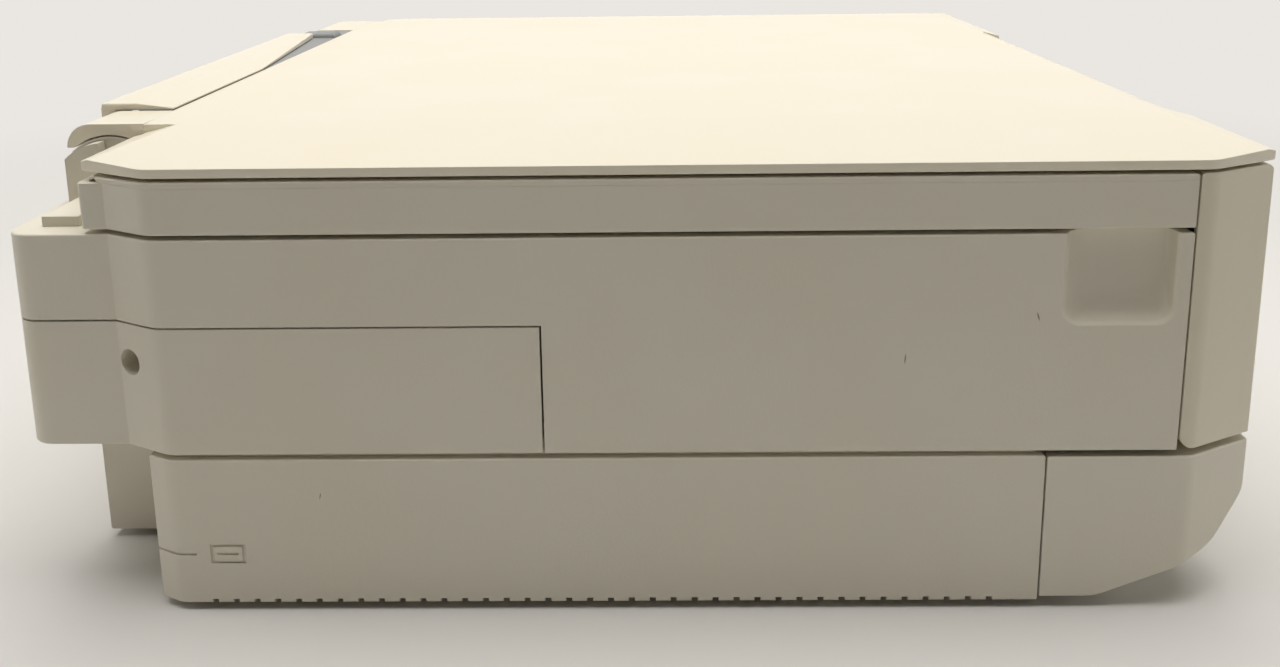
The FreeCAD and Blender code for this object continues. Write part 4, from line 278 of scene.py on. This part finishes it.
# Display: a dark acrylic window set flush in the panel. Behind its black border the liquid crystal
# sheet lies a little deeper.
WINDOW_COLOUR = "#16181A"
WINDOW_SECOND = "#1A1C1F"
WINDOW_PATCH = 30 * MM
WINDOW_RIPPLE = 20 * MM
WINDOW_RIPPLE_DEPTH = 0.004 * MM
WINDOW_EDGE = 0.3 * MM
WINDOW_BORDER = 5 * MM
SCREEN_SINK = 0.25 * MM
CELL_COLOUR = "#3B4448"
CELL_SECOND = "#414A4E"
CELL_GAP_COLOUR = "#2C3336"
CELL_SIZE = 0.6 * MM
CELL_GAP = 0.06 * MM


def add_block(shape, low, high):
    """Adds a box between two corners to a bmesh, and returns its edges."""
    low, high = Vector(low), Vector(high)
    place = Matrix.Translation((low + high) / 2) @ Matrix.Diagonal((*(high - low), 1))
    corners = bmesh.ops.create_cube(shape, size=1, matrix=place)["verts"]
    return list(dict.fromkeys(edge for corner in corners for edge in corner.link_edges))


def round_edges(shape, edges, radius):
    """Rounds edges of a bmesh."""
    bmesh.ops.bevel(shape, geom=edges, offset=radius, segments=2, profile=0.5, affect="EDGES", material=-1)


def new_piece(name, shape, body, slot, *materials):
    """Makes a bmesh a piece of the printer that rides on a body."""
    mesh = bpy.data.meshes.new(name)
    shape.to_mesh(mesh)
    shape.free()
    for material in materials:
        mesh.materials.append(material)
    piece = bpy.data.objects.new(name, mesh)
    bpy.context.scene.collection.objects.link(piece)
    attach(piece, body)
    return piece


# Polished acrylic: a hard mirror gloss over black, with hardly any ripple.
display_acrylic = moulded("polished_acrylic", WINDOW_COLOUR, WINDOW_SECOND, patch=WINDOW_PATCH,
                          grain=WINDOW_RIPPLE, depth=WINDOW_RIPPLE_DEPTH, gloss=(0.05, 0.09),
                          sockets={"IOR": 1.49, "Coat Weight": 0.3})

# Liquid crystal sheet, switched off: blue-grey, in cells that are drawn at about three times their
# real size so that they show.
screen_cells, screen_shader = new_finish("liquid_crystal_sheet", {"Roughness": 0.12, "IOR": 1.5})
screen_place = add(screen_cells, "TexCoord", {}).outputs["Object"]
screen_flat = add(screen_cells, "Mapping", {"Vector": screen_place, "Rotation": (math.radians(90), 0, 0)})
cells = add(screen_cells, "TexBrick", {
    "Vector": screen_flat.outputs[0], "Color1": linear(CELL_COLOUR), "Color2": linear(CELL_SECOND),
    "Mortar": linear(CELL_GAP_COLOUR), "Scale": 1.0, "Mortar Size": CELL_GAP, "Brick Width": CELL_SIZE,
    "Row Height": CELL_SIZE}, offset=0.0)
link(screen_cells, cells.outputs["Color"], screen_shader, "Base Color")

window = bmesh.new()
round_edges(window, add_block(window, *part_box("display")), WINDOW_EDGE)
window_face = max(window.faces, key=lambda face: -face.normal.y * face.calc_area())
bmesh.ops.inset_individual(window, faces=[window_face], thickness=WINDOW_BORDER, depth=0)
bmesh.ops.inset_individual(window, faces=[window_face], thickness=SCREEN_SINK, depth=-SCREEN_SINK)
window_face.material_index = 1
display_window = new_piece("display_window", window, "panel", "display_glass",
                           display_acrylic, screen_cells)
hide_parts("display")


# Button signs: the usual symbols for power, home, stop and start. They are printed with a soft pad,
# in dark ink, on the faces of the buttons.
SIGN_R = 2.6 * MM
SIGN_LINE = 0.7 * MM
SIGN_DEPTH = 0.08 * MM
POWER_GAP = 70
POWER_STEPS = 24
HOUSE_HALF = 0.7 * SIGN_R
HOUSE_LOW = -0.8 * SIGN_R
HOUSE_EAVES = -0.1 * SIGN_R
STOP_HALF = 0.75 * SIGN_R
START_BACK = -0.7 * SIGN_R
START_HALF = 0.95 * SIGN_R
INK_COLOUR = "#3C3D3F"
INK_SECOND = "#46474A"
INK_PATCH = 3 * MM
INK_GRAIN = 0.4 * MM
INK_GRAIN_DEPTH = 0.01 * MM


def rectangle(half, low, high):
    """Corners of an upright rectangle about the middle of a button."""
    return [(-half, low), (half, low), (half, high), (-half, high)]


def of_kind(parts, kind):
    """The parts of a bmesh that are of one kind."""
    return [part for part in parts if isinstance(part, kind)]


def add_plate(shape, outline, depth):
    """Adds a flat plate to a bmesh: a few corners make its face, which is drawn out by a depth."""
    face = shape.faces.new([shape.verts.new(corner) for corner in outline])
    drawn = bmesh.ops.extrude_face_region(shape, geom=[face])["geom"]
    bmesh.ops.translate(shape, vec=depth, verts=of_kind(drawn, bmesh.types.BMVert))


def add_open_ring(shape, middle, gap):
    """Adds a flat ring to a bmesh, on a button's face, with a gap at the top given in degrees."""
    inner = SIGN_LINE - SIGN_R
    section = [(0, -SIGN_R), (-SIGN_DEPTH, -SIGN_R), (-SIGN_DEPTH, inner), (0, inner)]
    end = shape.faces.new([shape.verts.new(middle + Vector((0, y, z))) for y, z in section])
    turn = Matrix.Rotation(-math.radians(180 - gap / 2), 3, "Y")
    bmesh.ops.rotate(shape, verts=end.verts, cent=middle, matrix=turn)
    bmesh.ops.spin(shape, geom=[end], cent=middle, axis=(0, 1, 0), angle=math.radians(360 - gap),
                   steps=POWER_STEPS)


def sign_piece(button, outlines, ring_gap=None):
    """Plates of printed ink on a button, from outlines about the middle of its face, and an open ring."""
    low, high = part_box(button)
    middle = Vector(((low[0] + high[0]) / 2, low[1], (low[2] + high[2]) / 2))
    shape = bmesh.new()
    for outline in outlines:
        add_plate(shape, [middle + Vector((x, 0, z)) for x, z in outline], (0, -SIGN_DEPTH, 0))
    if ring_gap:
        add_open_ring(shape, middle, ring_gap)
    bmesh.ops.recalc_face_normals(shape, faces=shape.faces)
    new_piece(button + "_sign", shape, button, "dark_plastic", printing_ink)


# Printing ink: dull and dense, a little uneven where the pad laid it.
printing_ink = moulded("pad_printed_ink", INK_COLOUR, INK_SECOND, patch=INK_PATCH, grain=INK_GRAIN,
                       depth=INK_GRAIN_DEPTH, gloss=(0.5, 0.65), sockets={"IOR": 1.5})
house_roof = [(-SIGN_R, 0), (SIGN_R, 0), (0, SIGN_R)]
sign_piece("power_button", [rectangle(SIGN_LINE / 2, 0, SIGN_R)], POWER_GAP)
sign_piece("home_button", [house_roof, rectangle(HOUSE_HALF, HOUSE_LOW, HOUSE_EAVES)])
sign_piece("stop_button", [rectangle(STOP_HALF, -STOP_HALF, STOP_HALF)])
sign_piece("start_button", [[(START_BACK, -START_HALF), (SIGN_R, 0), (START_BACK, START_HALF)]])


# Output tray ribs: low rails along the tray's plate, moulded in one with it. They lift the sheets
# that come out, so that a finger gets under them.
RIB_COUNT = 7
RIB_PITCH = 32 * MM
RIB_WIDTH = 1.6 * MM
RIB_HEIGHT = 0.9 * MM
RIB_END_GAP = 8 * MM
OUTPUT_PLATE = 2 * MM
BAR_ROUNDING = 0.3


def row(count, pitch):
    """Places along a row, about its middle."""
    return [(index - (count - 1) / 2) * pitch for index in range(count)]


def add_bar(shape, low, high, depth):
    """Adds a bar between two corners to a bmesh, with its edges rounded by a share of its depth."""
    round_edges(shape, add_block(shape, low, high), BAR_ROUNDING * depth)


tray_low, tray_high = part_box("output_tray")
plate_top = tray_low[2] + OUTPUT_PLATE
ribs = bmesh.new()
for x in row(RIB_COUNT, RIB_PITCH):
    add_bar(ribs, (x - RIB_WIDTH / 2, tray_low[1] + RIB_END_GAP, plate_top),
            (x + RIB_WIDTH / 2, tray_high[1] - RIB_END_GAP, plate_top + RIB_HEIGHT), RIB_HEIGHT)
new_piece("output_tray_ribs", ribs, "output_tray", "grey_plastic", grey_abs)


# Guide ridges: a row of upright ridges on the fence of each side guide, where a finger pushes it.
# Moulded in one with the guide.
RIDGE_COUNT = 5
RIDGE_PITCH = 3 * MM
RIDGE_WIDTH = 1.2 * MM
RIDGE_DEPTH = 0.8 * MM
RIDGE_END_GAP = 2 * MM
for side in ("left", "right"):
    guide_low, guide_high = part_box(side + "_paper_guide")
    start = guide_low[0] - RIDGE_DEPTH if side == "left" else guide_high[0]
    ridges = bmesh.new()
    for along in row(RIDGE_COUNT, RIDGE_PITCH):
        y = (guide_low[1] + guide_high[1]) / 2 + along
        add_bar(ridges, (start, y - RIDGE_WIDTH / 2, guide_low[2] + RIDGE_END_GAP),
                (start + RIDGE_DEPTH, y + RIDGE_WIDTH / 2, guide_high[2] - RIDGE_END_GAP), RIDGE_DEPTH)
    new_piece(side + "_paper_guide_ridges", ridges, side + "_guide", "grey_plastic", grey_abs)


# Duplex unit latches: a block of finger ridges at each end of the unit's back, where it is gripped to
# pull it off. Moulded in one with the wall.
LATCH_X = 150 * MM
LATCH_WIDTH = 22 * MM
LATCH_LOW = 20 * MM
LATCH_PITCH = 3 * MM
LATCH_BAR = 1.5 * MM
LATCH_DEPTH = 1.2 * MM
LATCH_COUNT = 6
duplex_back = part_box("duplex_unit")[1][1]
latches = bmesh.new()
for x in (-LATCH_X, LATCH_X):
    for index in range(LATCH_COUNT):
        z = LATCH_LOW + index * LATCH_PITCH
        add_bar(latches, (x - LATCH_WIDTH / 2, duplex_back, z),
                (x + LATCH_WIDTH / 2, duplex_back + LATCH_DEPTH, z + LATCH_BAR), LATCH_DEPTH)
new_piece("duplex_latch_ridges", latches, "duplex", "casing_plastic", casing_abs)


# Screws: pan heads with a cross recess, in zinc-plated steel. Two hold the back of the base, and four
# the deck that the scanner closes on.
SCREW_R = 3 * MM
SCREW_HEIGHT = 1.0 * MM
SCREW_SIDES = 24
RECESS_REACH = 1.7 * MM
RECESS_HALF = 0.4 * MM
RECESS_DEPTH = 0.7 * MM
BACK_SCREWS = [(-187 * MM, 36 * MM), (187 * MM, 36 * MM)]
DECK_SCREWS = [(-207 * MM, -125 * MM), (207 * MM, -125 * MM), (-207 * MM, 125 * MM), (207 * MM, 125 * MM)]

# Rings of a head from its seat up: each one's radius as a share of the last, and its rise as a share
# of the height.
HEAD_RINGS = [(1.0, 0.5), (0.85, 0.35), (0.85, 0.15)]


def edges_between(edges, verts):
    """The edges whose two ends are among some vertices."""
    return [edge for edge in edges if all(vert in verts for vert in edge.verts)]


head = bmesh.new()
rim = bmesh.ops.create_circle(head, cap_ends=False, segments=SCREW_SIDES, radius=SCREW_R)["verts"]
for inward, rise in HEAD_RINGS:
    drawn = bmesh.ops.extrude_edge_only(head, edges=edges_between(head.edges, rim))["geom"]
    rim = of_kind(drawn, bmesh.types.BMVert)
    bmesh.ops.scale(head, vec=(inward, inward, 1), verts=rim)
    bmesh.ops.translate(head, vec=(0, 0, rise * SCREW_HEIGHT), verts=rim)
rim_edges = edges_between(head.edges, rim)
cross = [(RECESS_REACH, RECESS_HALF), (RECESS_HALF, RECESS_HALF), (RECESS_HALF, RECESS_REACH)]
for x, y in list(cross):
    cross.insert(0, (-x, y))
cross += [(x, -y) for x, y in reversed(cross)]
cross_verts = [head.verts.new((x, y, SCREW_HEIGHT)) for x, y in cross]
cross_edges = [head.edges.new(pair) for pair in zip(cross_verts, cross_verts[1:] + cross_verts[:1])]
bmesh.ops.triangle_fill(head, use_beauty=True, edges=rim_edges + cross_edges, normal=(0, 0, 1))
sunk = bmesh.ops.extrude_edge_only(head, edges=cross_edges)["geom"]
sunk_verts = of_kind(sunk, bmesh.types.BMVert)
bmesh.ops.translate(head, vec=(0, 0, -RECESS_DEPTH), verts=sunk_verts)
bmesh.ops.contextual_create(head, geom=edges_between(of_kind(sunk, bmesh.types.BMEdge), sunk_verts))
bmesh.ops.recalc_face_normals(head, faces=head.faces)
head_mesh = bpy.data.meshes.new("screw_head")
head.to_mesh(head_mesh)
head.free()


def screw_piece(name, body, places):
    """Screw heads set on a wall by the matrices of their places."""
    shape = bmesh.new()
    for place in places:
        known = set(shape.verts)
        shape.from_mesh(head_mesh)
        bmesh.ops.transform(shape, matrix=place, verts=[vert for vert in shape.verts if vert not in known])
    new_piece(name, shape, body, "bright_steel", zinc_steel)


base_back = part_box("lower_housing")[1][1]
deck_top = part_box("upper_housing")[1][2]
backwards = Matrix.Rotation(math.radians(-90), 4, "X")
back_places = [Matrix.Translation((x, base_back, z)) @ backwards for x, z in BACK_SCREWS]
screw_piece("base_screws", "housing", back_places)
screw_piece("deck_screws", "housing", [Matrix.Translation((x, y, deck_top)) for x, y in DECK_SCREWS])


# Overhang floor: a flat ABS plate let in under the housing's rear overhang, above the duplex unit,
# and welded to the walls.
OVERHANG_SIDE_GAP = 11.5 * MM
OVERHANG_BACK_GAP = 3 * MM
OVERHANG_LAP = 12 * MM
OVERHANG_RISE = 0.5 * MM
OVERHANG_PLATE = 1.5 * MM
OVERHANG_CORNER_R = 6 * MM
overhang_low, overhang_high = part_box("rear_lower_cover")
overhang_back = overhang_high[1] - OVERHANG_BACK_GAP
overhang_z = overhang_low[2] + OVERHANG_RISE
overhang = bmesh.new()
overhang_edges = add_block(
    overhang, (overhang_low[0] + OVERHANG_SIDE_GAP, base_back - OVERHANG_LAP, overhang_z),
    (overhang_high[0] - OVERHANG_SIDE_GAP, overhang_back, overhang_z + OVERHANG_PLATE))
upright = [edge for edge in overhang_edges if edge.calc_length() < 2 * OVERHANG_PLATE]
round_edges(overhang, [edge for edge in upright if edge.verts[0].co.y > base_back], OVERHANG_CORNER_R)
new_piece("overhang_floor", overhang, "housing", "casing_plastic", casing_abs)


# Ink marks: a coloured patch on the carriage's cover over each cartridge, so that each goes in its
# place. Printed like the button signs, in a dull, dense ink.
MARK_COLOURS = ["#1F1F21", "#17A0C8", "#C4377F", "#E8C92F", "#7FC3DA", "#E39ABF"]
MARK_SIZE = 8 * MM
MARK_FRONT = 8 * MM
MARK_DEPTH = 0.08 * MM
cover_low, cover_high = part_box("carriage_cover")
mark_pitch = (cover_high[0] - cover_low[0]) / len(MARK_COLOURS)
mark_y = cover_low[1] + MARK_FRONT
for index, colour in enumerate(MARK_COLOURS):
    mark_ink = moulded("printed_ink_%d" % index, colour, colour, patch=INK_PATCH, grain=INK_GRAIN,
                       depth=INK_GRAIN_DEPTH, gloss=(0.45, 0.6), sockets={"IOR": 1.5})
    mark_x = cover_low[0] + (index + 0.5) * mark_pitch
    mark = bmesh.new()
    add_bar(mark, (mark_x - MARK_SIZE / 2, mark_y, cover_high[2]),
            (mark_x + MARK_SIZE / 2, mark_y + MARK_SIZE, cover_high[2] + MARK_DEPTH), MARK_DEPTH)
    new_piece("ink_mark_%d" % index, mark, "carriage", "dark_plastic", mark_ink)


# Scan bar's lamp and lens: a pale light guide and a dark row of lenses, let into the top of the
# moving bar. The guide is clear acrylic, polished, and looks milky where light leaves it.
GUIDE_COLOUR = "#E9F0EE"
GUIDE_SECOND = "#DDE6E4"
GUIDE_PATCH = 10 * MM
GUIDE_RIPPLE = 5 * MM
GUIDE_RIPPLE_DEPTH = 0.01 * MM
LENS_WIDTH = 3 * MM
LENS_RISE = 0.3 * MM
LENS_GAP = 1.5 * MM
LENS_END = 5 * MM
light_guide = moulded("clear_light_guide", GUIDE_COLOUR, GUIDE_SECOND, patch=GUIDE_PATCH,
                      grain=GUIDE_RIPPLE, depth=GUIDE_RIPPLE_DEPTH, gloss=(0.12, 0.2),
                      sockets={"IOR": 1.49, "Transmission Weight": 0.4})
bar_low, bar_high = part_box("scan_bar")
bar_middle = (bar_low[0] + bar_high[0]) / 2
for name, start, material in (("scan_bar_light", bar_middle - LENS_GAP - LENS_WIDTH, light_guide),
                              ("scan_bar_lens", bar_middle + LENS_GAP, display_acrylic)):
    strip = bmesh.new()
    add_bar(strip, (start, bar_low[1] + LENS_END, bar_high[2]),
            (start + LENS_WIDTH, bar_high[1] - LENS_END, bar_high[2] + LENS_RISE), LENS_RISE)
    new_piece(name, strip, "scan_bar", "clear_glass", material)


# Size marks: ticks every 10 mm along the front edge of the glass, and a corner arrow that shows where
# a sheet is laid. Printed on the scanner's bezel in the ink of the button signs.
TICK_PITCH = 10 * MM
TICK_LENGTH = 2.2 * MM
TICK_WIDTH = 0.4 * MM
TICK_GAP = 1.0 * MM
ARROW_SIZE = 5 * MM
glass_low, glass_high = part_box("scanner_glass")
bezel_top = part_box("scanner_bezel")[1][2]
tick_y = glass_low[1] - TICK_GAP
ticks = bmesh.new()
for index in range(1, int((glass_high[0] - glass_low[0]) / TICK_PITCH)):
    tick_x = glass_low[0] + index * TICK_PITCH
    add_block(ticks, (tick_x - TICK_WIDTH / 2, tick_y - TICK_LENGTH, bezel_top),
              (tick_x + TICK_WIDTH / 2, tick_y, bezel_top + SIGN_DEPTH))
arrow = [(0, 0), (ARROW_SIZE, 0), (0, ARROW_SIZE)]
add_plate(ticks, [(glass_low[0] - TICK_GAP - x, tick_y - y, bezel_top) for x, y in arrow],
          (0, 0, SIGN_DEPTH))
bmesh.ops.recalc_face_normals(ticks, faces=ticks.faces)
new_piece("glass_size_marks", ticks, "scanner", "dark_plastic", printing_ink)


# Lid buffers: four soft rubber pads, glued under the lid's corners, which land on the scanner's bezel
# and quieten the lid.
BUFFER_LENGTH = 9 * MM
BUFFER_WIDTH = 5 * MM
BUFFER_HEIGHT = 0.9 * MM
BUFFER_X = 192 * MM
BUFFER_Y = (-150 * MM, 140 * MM)
lid_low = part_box("document_lid")[0][2]
buffers = bmesh.new()
for x in (-BUFFER_X, BUFFER_X):
    for y in BUFFER_Y:
        add_bar(buffers, (x - BUFFER_LENGTH / 2, y - BUFFER_WIDTH / 2, lid_low - BUFFER_HEIGHT),
                (x + BUFFER_LENGTH / 2, y + BUFFER_WIDTH / 2, lid_low), BUFFER_HEIGHT)
new_piece("lid_buffers", buffers, "lid", "rubber", rubber)


# Document mat: white polyester film over a sheet of foam, stuck under the lid. The foam below quilts
# its sheen a little.
MAT_COLOUR = "#F4F3EF"
MAT_SECOND = "#EFEEE8"
MAT_PATCH = 25 * MM
QUILT_SIZE = 8 * MM
QUILT_DEPTH = 0.05 * MM
mat_film = moulded("white_film", MAT_COLOUR, MAT_SECOND, patch=MAT_PATCH, grain=QUILT_SIZE,
                   depth=QUILT_DEPTH, gloss=(0.4, 0.55), sockets={"IOR": 1.57})
dress(mat_film, "document_mat")


# Main board: glass-fibre laminate under green solder mask, screwed to the base. Its copper tracks
# show through the mask as lighter lines.
MASK_COLOUR = "#1D6B45"
TRACK_COLOUR = "#2A7D52"
TRACK_PITCH = 3 * MM
TRACK_RUN = 12 * MM
TRACK_WIDTH = 0.3 * MM
circuit_board, board_shader = new_finish("solder_masked_laminate", {"Roughness": 0.35, "IOR": 1.5})
board_place = add(circuit_board, "TexCoord", {}).outputs["Object"]
tracks = add(circuit_board, "TexBrick", {
    "Vector": board_place, "Color1": linear(MASK_COLOUR), "Color2": linear(MASK_COLOUR),
    "Mortar": linear(TRACK_COLOUR), "Scale": 1.0, "Mortar Size": TRACK_WIDTH, "Brick Width": TRACK_RUN,
    "Row Height": TRACK_PITCH})
link(circuit_board, tracks.outputs["Color"], board_shader, "Base Color")
dress(circuit_board, "main_board")


# Studio: a wide floor of pale paper, which fades into an even background of the same tone. The air
# gives little light of its own.
FLOOR_COLOUR = "#E6E4E1"
FLOOR_SECOND = "#E2E0DD"
PULP_CLOUD = 400 * MM
PAPER_GRAIN = 2 * MM
PAPER_GRAIN_DEPTH = 0.01 * MM
BACKGROUND_COLOUR = "#EAE6E1"
FLOOR_R = 4.0
FLOOR_SIDES = 96
FADE_START = 0.3
FADE_END = 0.9
AMBIENT = 0.02


def seen_rays(material):
    """1 for rays from the camera, off gloss or through glass, and 0 for rays that carry light."""
    path = add(material, "LightPath", {}).outputs
    direct = add(material, "Math", {0: path["Is Camera Ray"], 1: path["Is Glossy Ray"]},
                 operation="MAXIMUM")
    seen = add(material, "Math", {0: direct.outputs[0], 1: path["Is Transmission Ray"]},
               operation="MAXIMUM")
    return seen.outputs[0]


floor_shape = bmesh.new()
bmesh.ops.create_circle(floor_shape, cap_ends=True, segments=FLOOR_SIDES, radius=FLOOR_R)
floor_mesh = bpy.data.meshes.new("studio_floor")
floor_shape.to_mesh(floor_mesh)
floor_shape.free()
studio_floor = bpy.data.objects.new("studio_floor", floor_mesh)
bpy.context.scene.collection.objects.link(studio_floor)

# Studio paper: matt, with the faint cloudiness of its pulp. Far out it is seen as the plain
# background.
floor_paper = moulded("studio_paper", FLOOR_COLOUR, FLOOR_SECOND, patch=PULP_CLOUD, grain=PAPER_GRAIN,
                      depth=PAPER_GRAIN_DEPTH, gloss=(0.75, 0.85), sockets={"IOR": 1.45})
floor_nodes = floor_paper.node_tree.nodes
floor_place = floor_nodes["place"].outputs["Object"]
paper = floor_nodes["Principled BSDF"].outputs[0]
far = add(floor_paper, "VectorMath", {0: floor_place}, operation="LENGTH").outputs["Value"]
fade = add(floor_paper, "MapRange", {"Value": far, "From Min": FADE_START, "From Max": FADE_END},
           interpolation_type="SMOOTHSTEP").outputs[0]
shown = add(floor_paper, "Math", {0: fade, 1: seen_rays(floor_paper)}, operation="MULTIPLY").outputs[0]
glow = add(floor_paper, "Emission", {"Color": linear(BACKGROUND_COLOUR)}).outputs[0]
floor_mix = add(floor_paper, "MixShader", {0: shown, 1: paper, 2: glow}).outputs[0]
link(floor_paper, floor_mix, floor_nodes["Material Output"], "Surface")
floor_mesh.materials.append(floor_paper)

world = bpy.data.worlds.new("studio_air")
bpy.context.scene.world = world
world.use_nodes = True
air = world.node_tree.nodes["Background"]
air.inputs["Color"].default_value = linear(BACKGROUND_COLOUR)
strength = add(world, "MapRange", {"Value": seen_rays(world), "To Min": AMBIENT, "To Max": 1.0}).outputs[0]
link(world, strength, air, "Strength")


# Lamps: a wide soft one overhead, and a weak one beyond the front and one beyond the back. All are a
# little warm. Powers are in watts, spreads in degrees.
LAMP_COLOUR = (1.0, 0.985, 0.955)
LAMPS = [
    {"name": "top_lamp", "size": (1.5, 1.8), "power": 12.1, "spread": 110,
     "at": (0.12, 0.0, 1.3), "towards": (0.12, 0.0, 0.0)},
    {"name": "front_fill", "size": (0.9, 0.7), "power": 3.0, "spread": 180,
     "at": (-0.1, -1.4, 0.6), "towards": (0.0, -0.1, 0.08)},
    {"name": "rear_fill", "size": (0.9, 0.7), "power": 2.6, "spread": 180,
     "at": (-0.1, 1.4, 0.6), "towards": (0.0, 0.1, 0.08)},
]
for lamp in LAMPS:
    light = bpy.data.lights.new(lamp["name"], "AREA")
    light.shape = "RECTANGLE"
    light.size, light.size_y = lamp["size"]
    light.energy = lamp["power"]
    light.spread = math.radians(lamp["spread"])
    light.color = LAMP_COLOUR
    holder = bpy.data.objects.new(lamp["name"], light)
    holder.location = lamp["at"]
    aim = Vector(lamp["towards"]) - Vector(lamp["at"])
    holder.rotation_euler = aim.to_track_quat("-Z", "Y").to_euler()
    bpy.context.scene.collection.objects.link(holder)


# Camera: a little above the lid, square on to the left side and about 35 cm from it. Its shift lowers
# the view so that the whole side is framed.
CAMERA_AT = (-0.56932, -0.00819, 0.22048)
CAMERA_YAW = math.radians(0.9331)
CAMERA_PITCH = math.radians(12.3098)
CAMERA_ROLL = math.radians(-0.7211)
CAMERA_LENS = 34.294
CAMERA_SHIFT = -0.135
up = Vector((0, 0, 1))
ahead = Vector((math.cos(CAMERA_YAW), math.sin(CAMERA_YAW), 0))
aside = ahead.cross(up)
ahead = ahead * math.cos(CAMERA_PITCH) - up * math.sin(CAMERA_PITCH)
above = aside.cross(ahead)
aside = aside * math.cos(CAMERA_ROLL) + above * math.sin(CAMERA_ROLL)
above = aside.cross(ahead)
camera = bpy.data.cameras.new("camera")
camera.lens = CAMERA_LENS
camera.shift_y = CAMERA_SHIFT
camera_holder = bpy.data.objects.new("camera", camera)
camera_turn = Matrix((aside, above, -ahead)).transposed().to_4x4()
camera_holder.matrix_world = Matrix.Translation(CAMERA_AT) @ camera_turn
bpy.context.scene.collection.objects.link(camera_holder)
bpy.context.scene.camera = camera_holder
bpy.context.scene.view_settings.view_transform = "Standard"
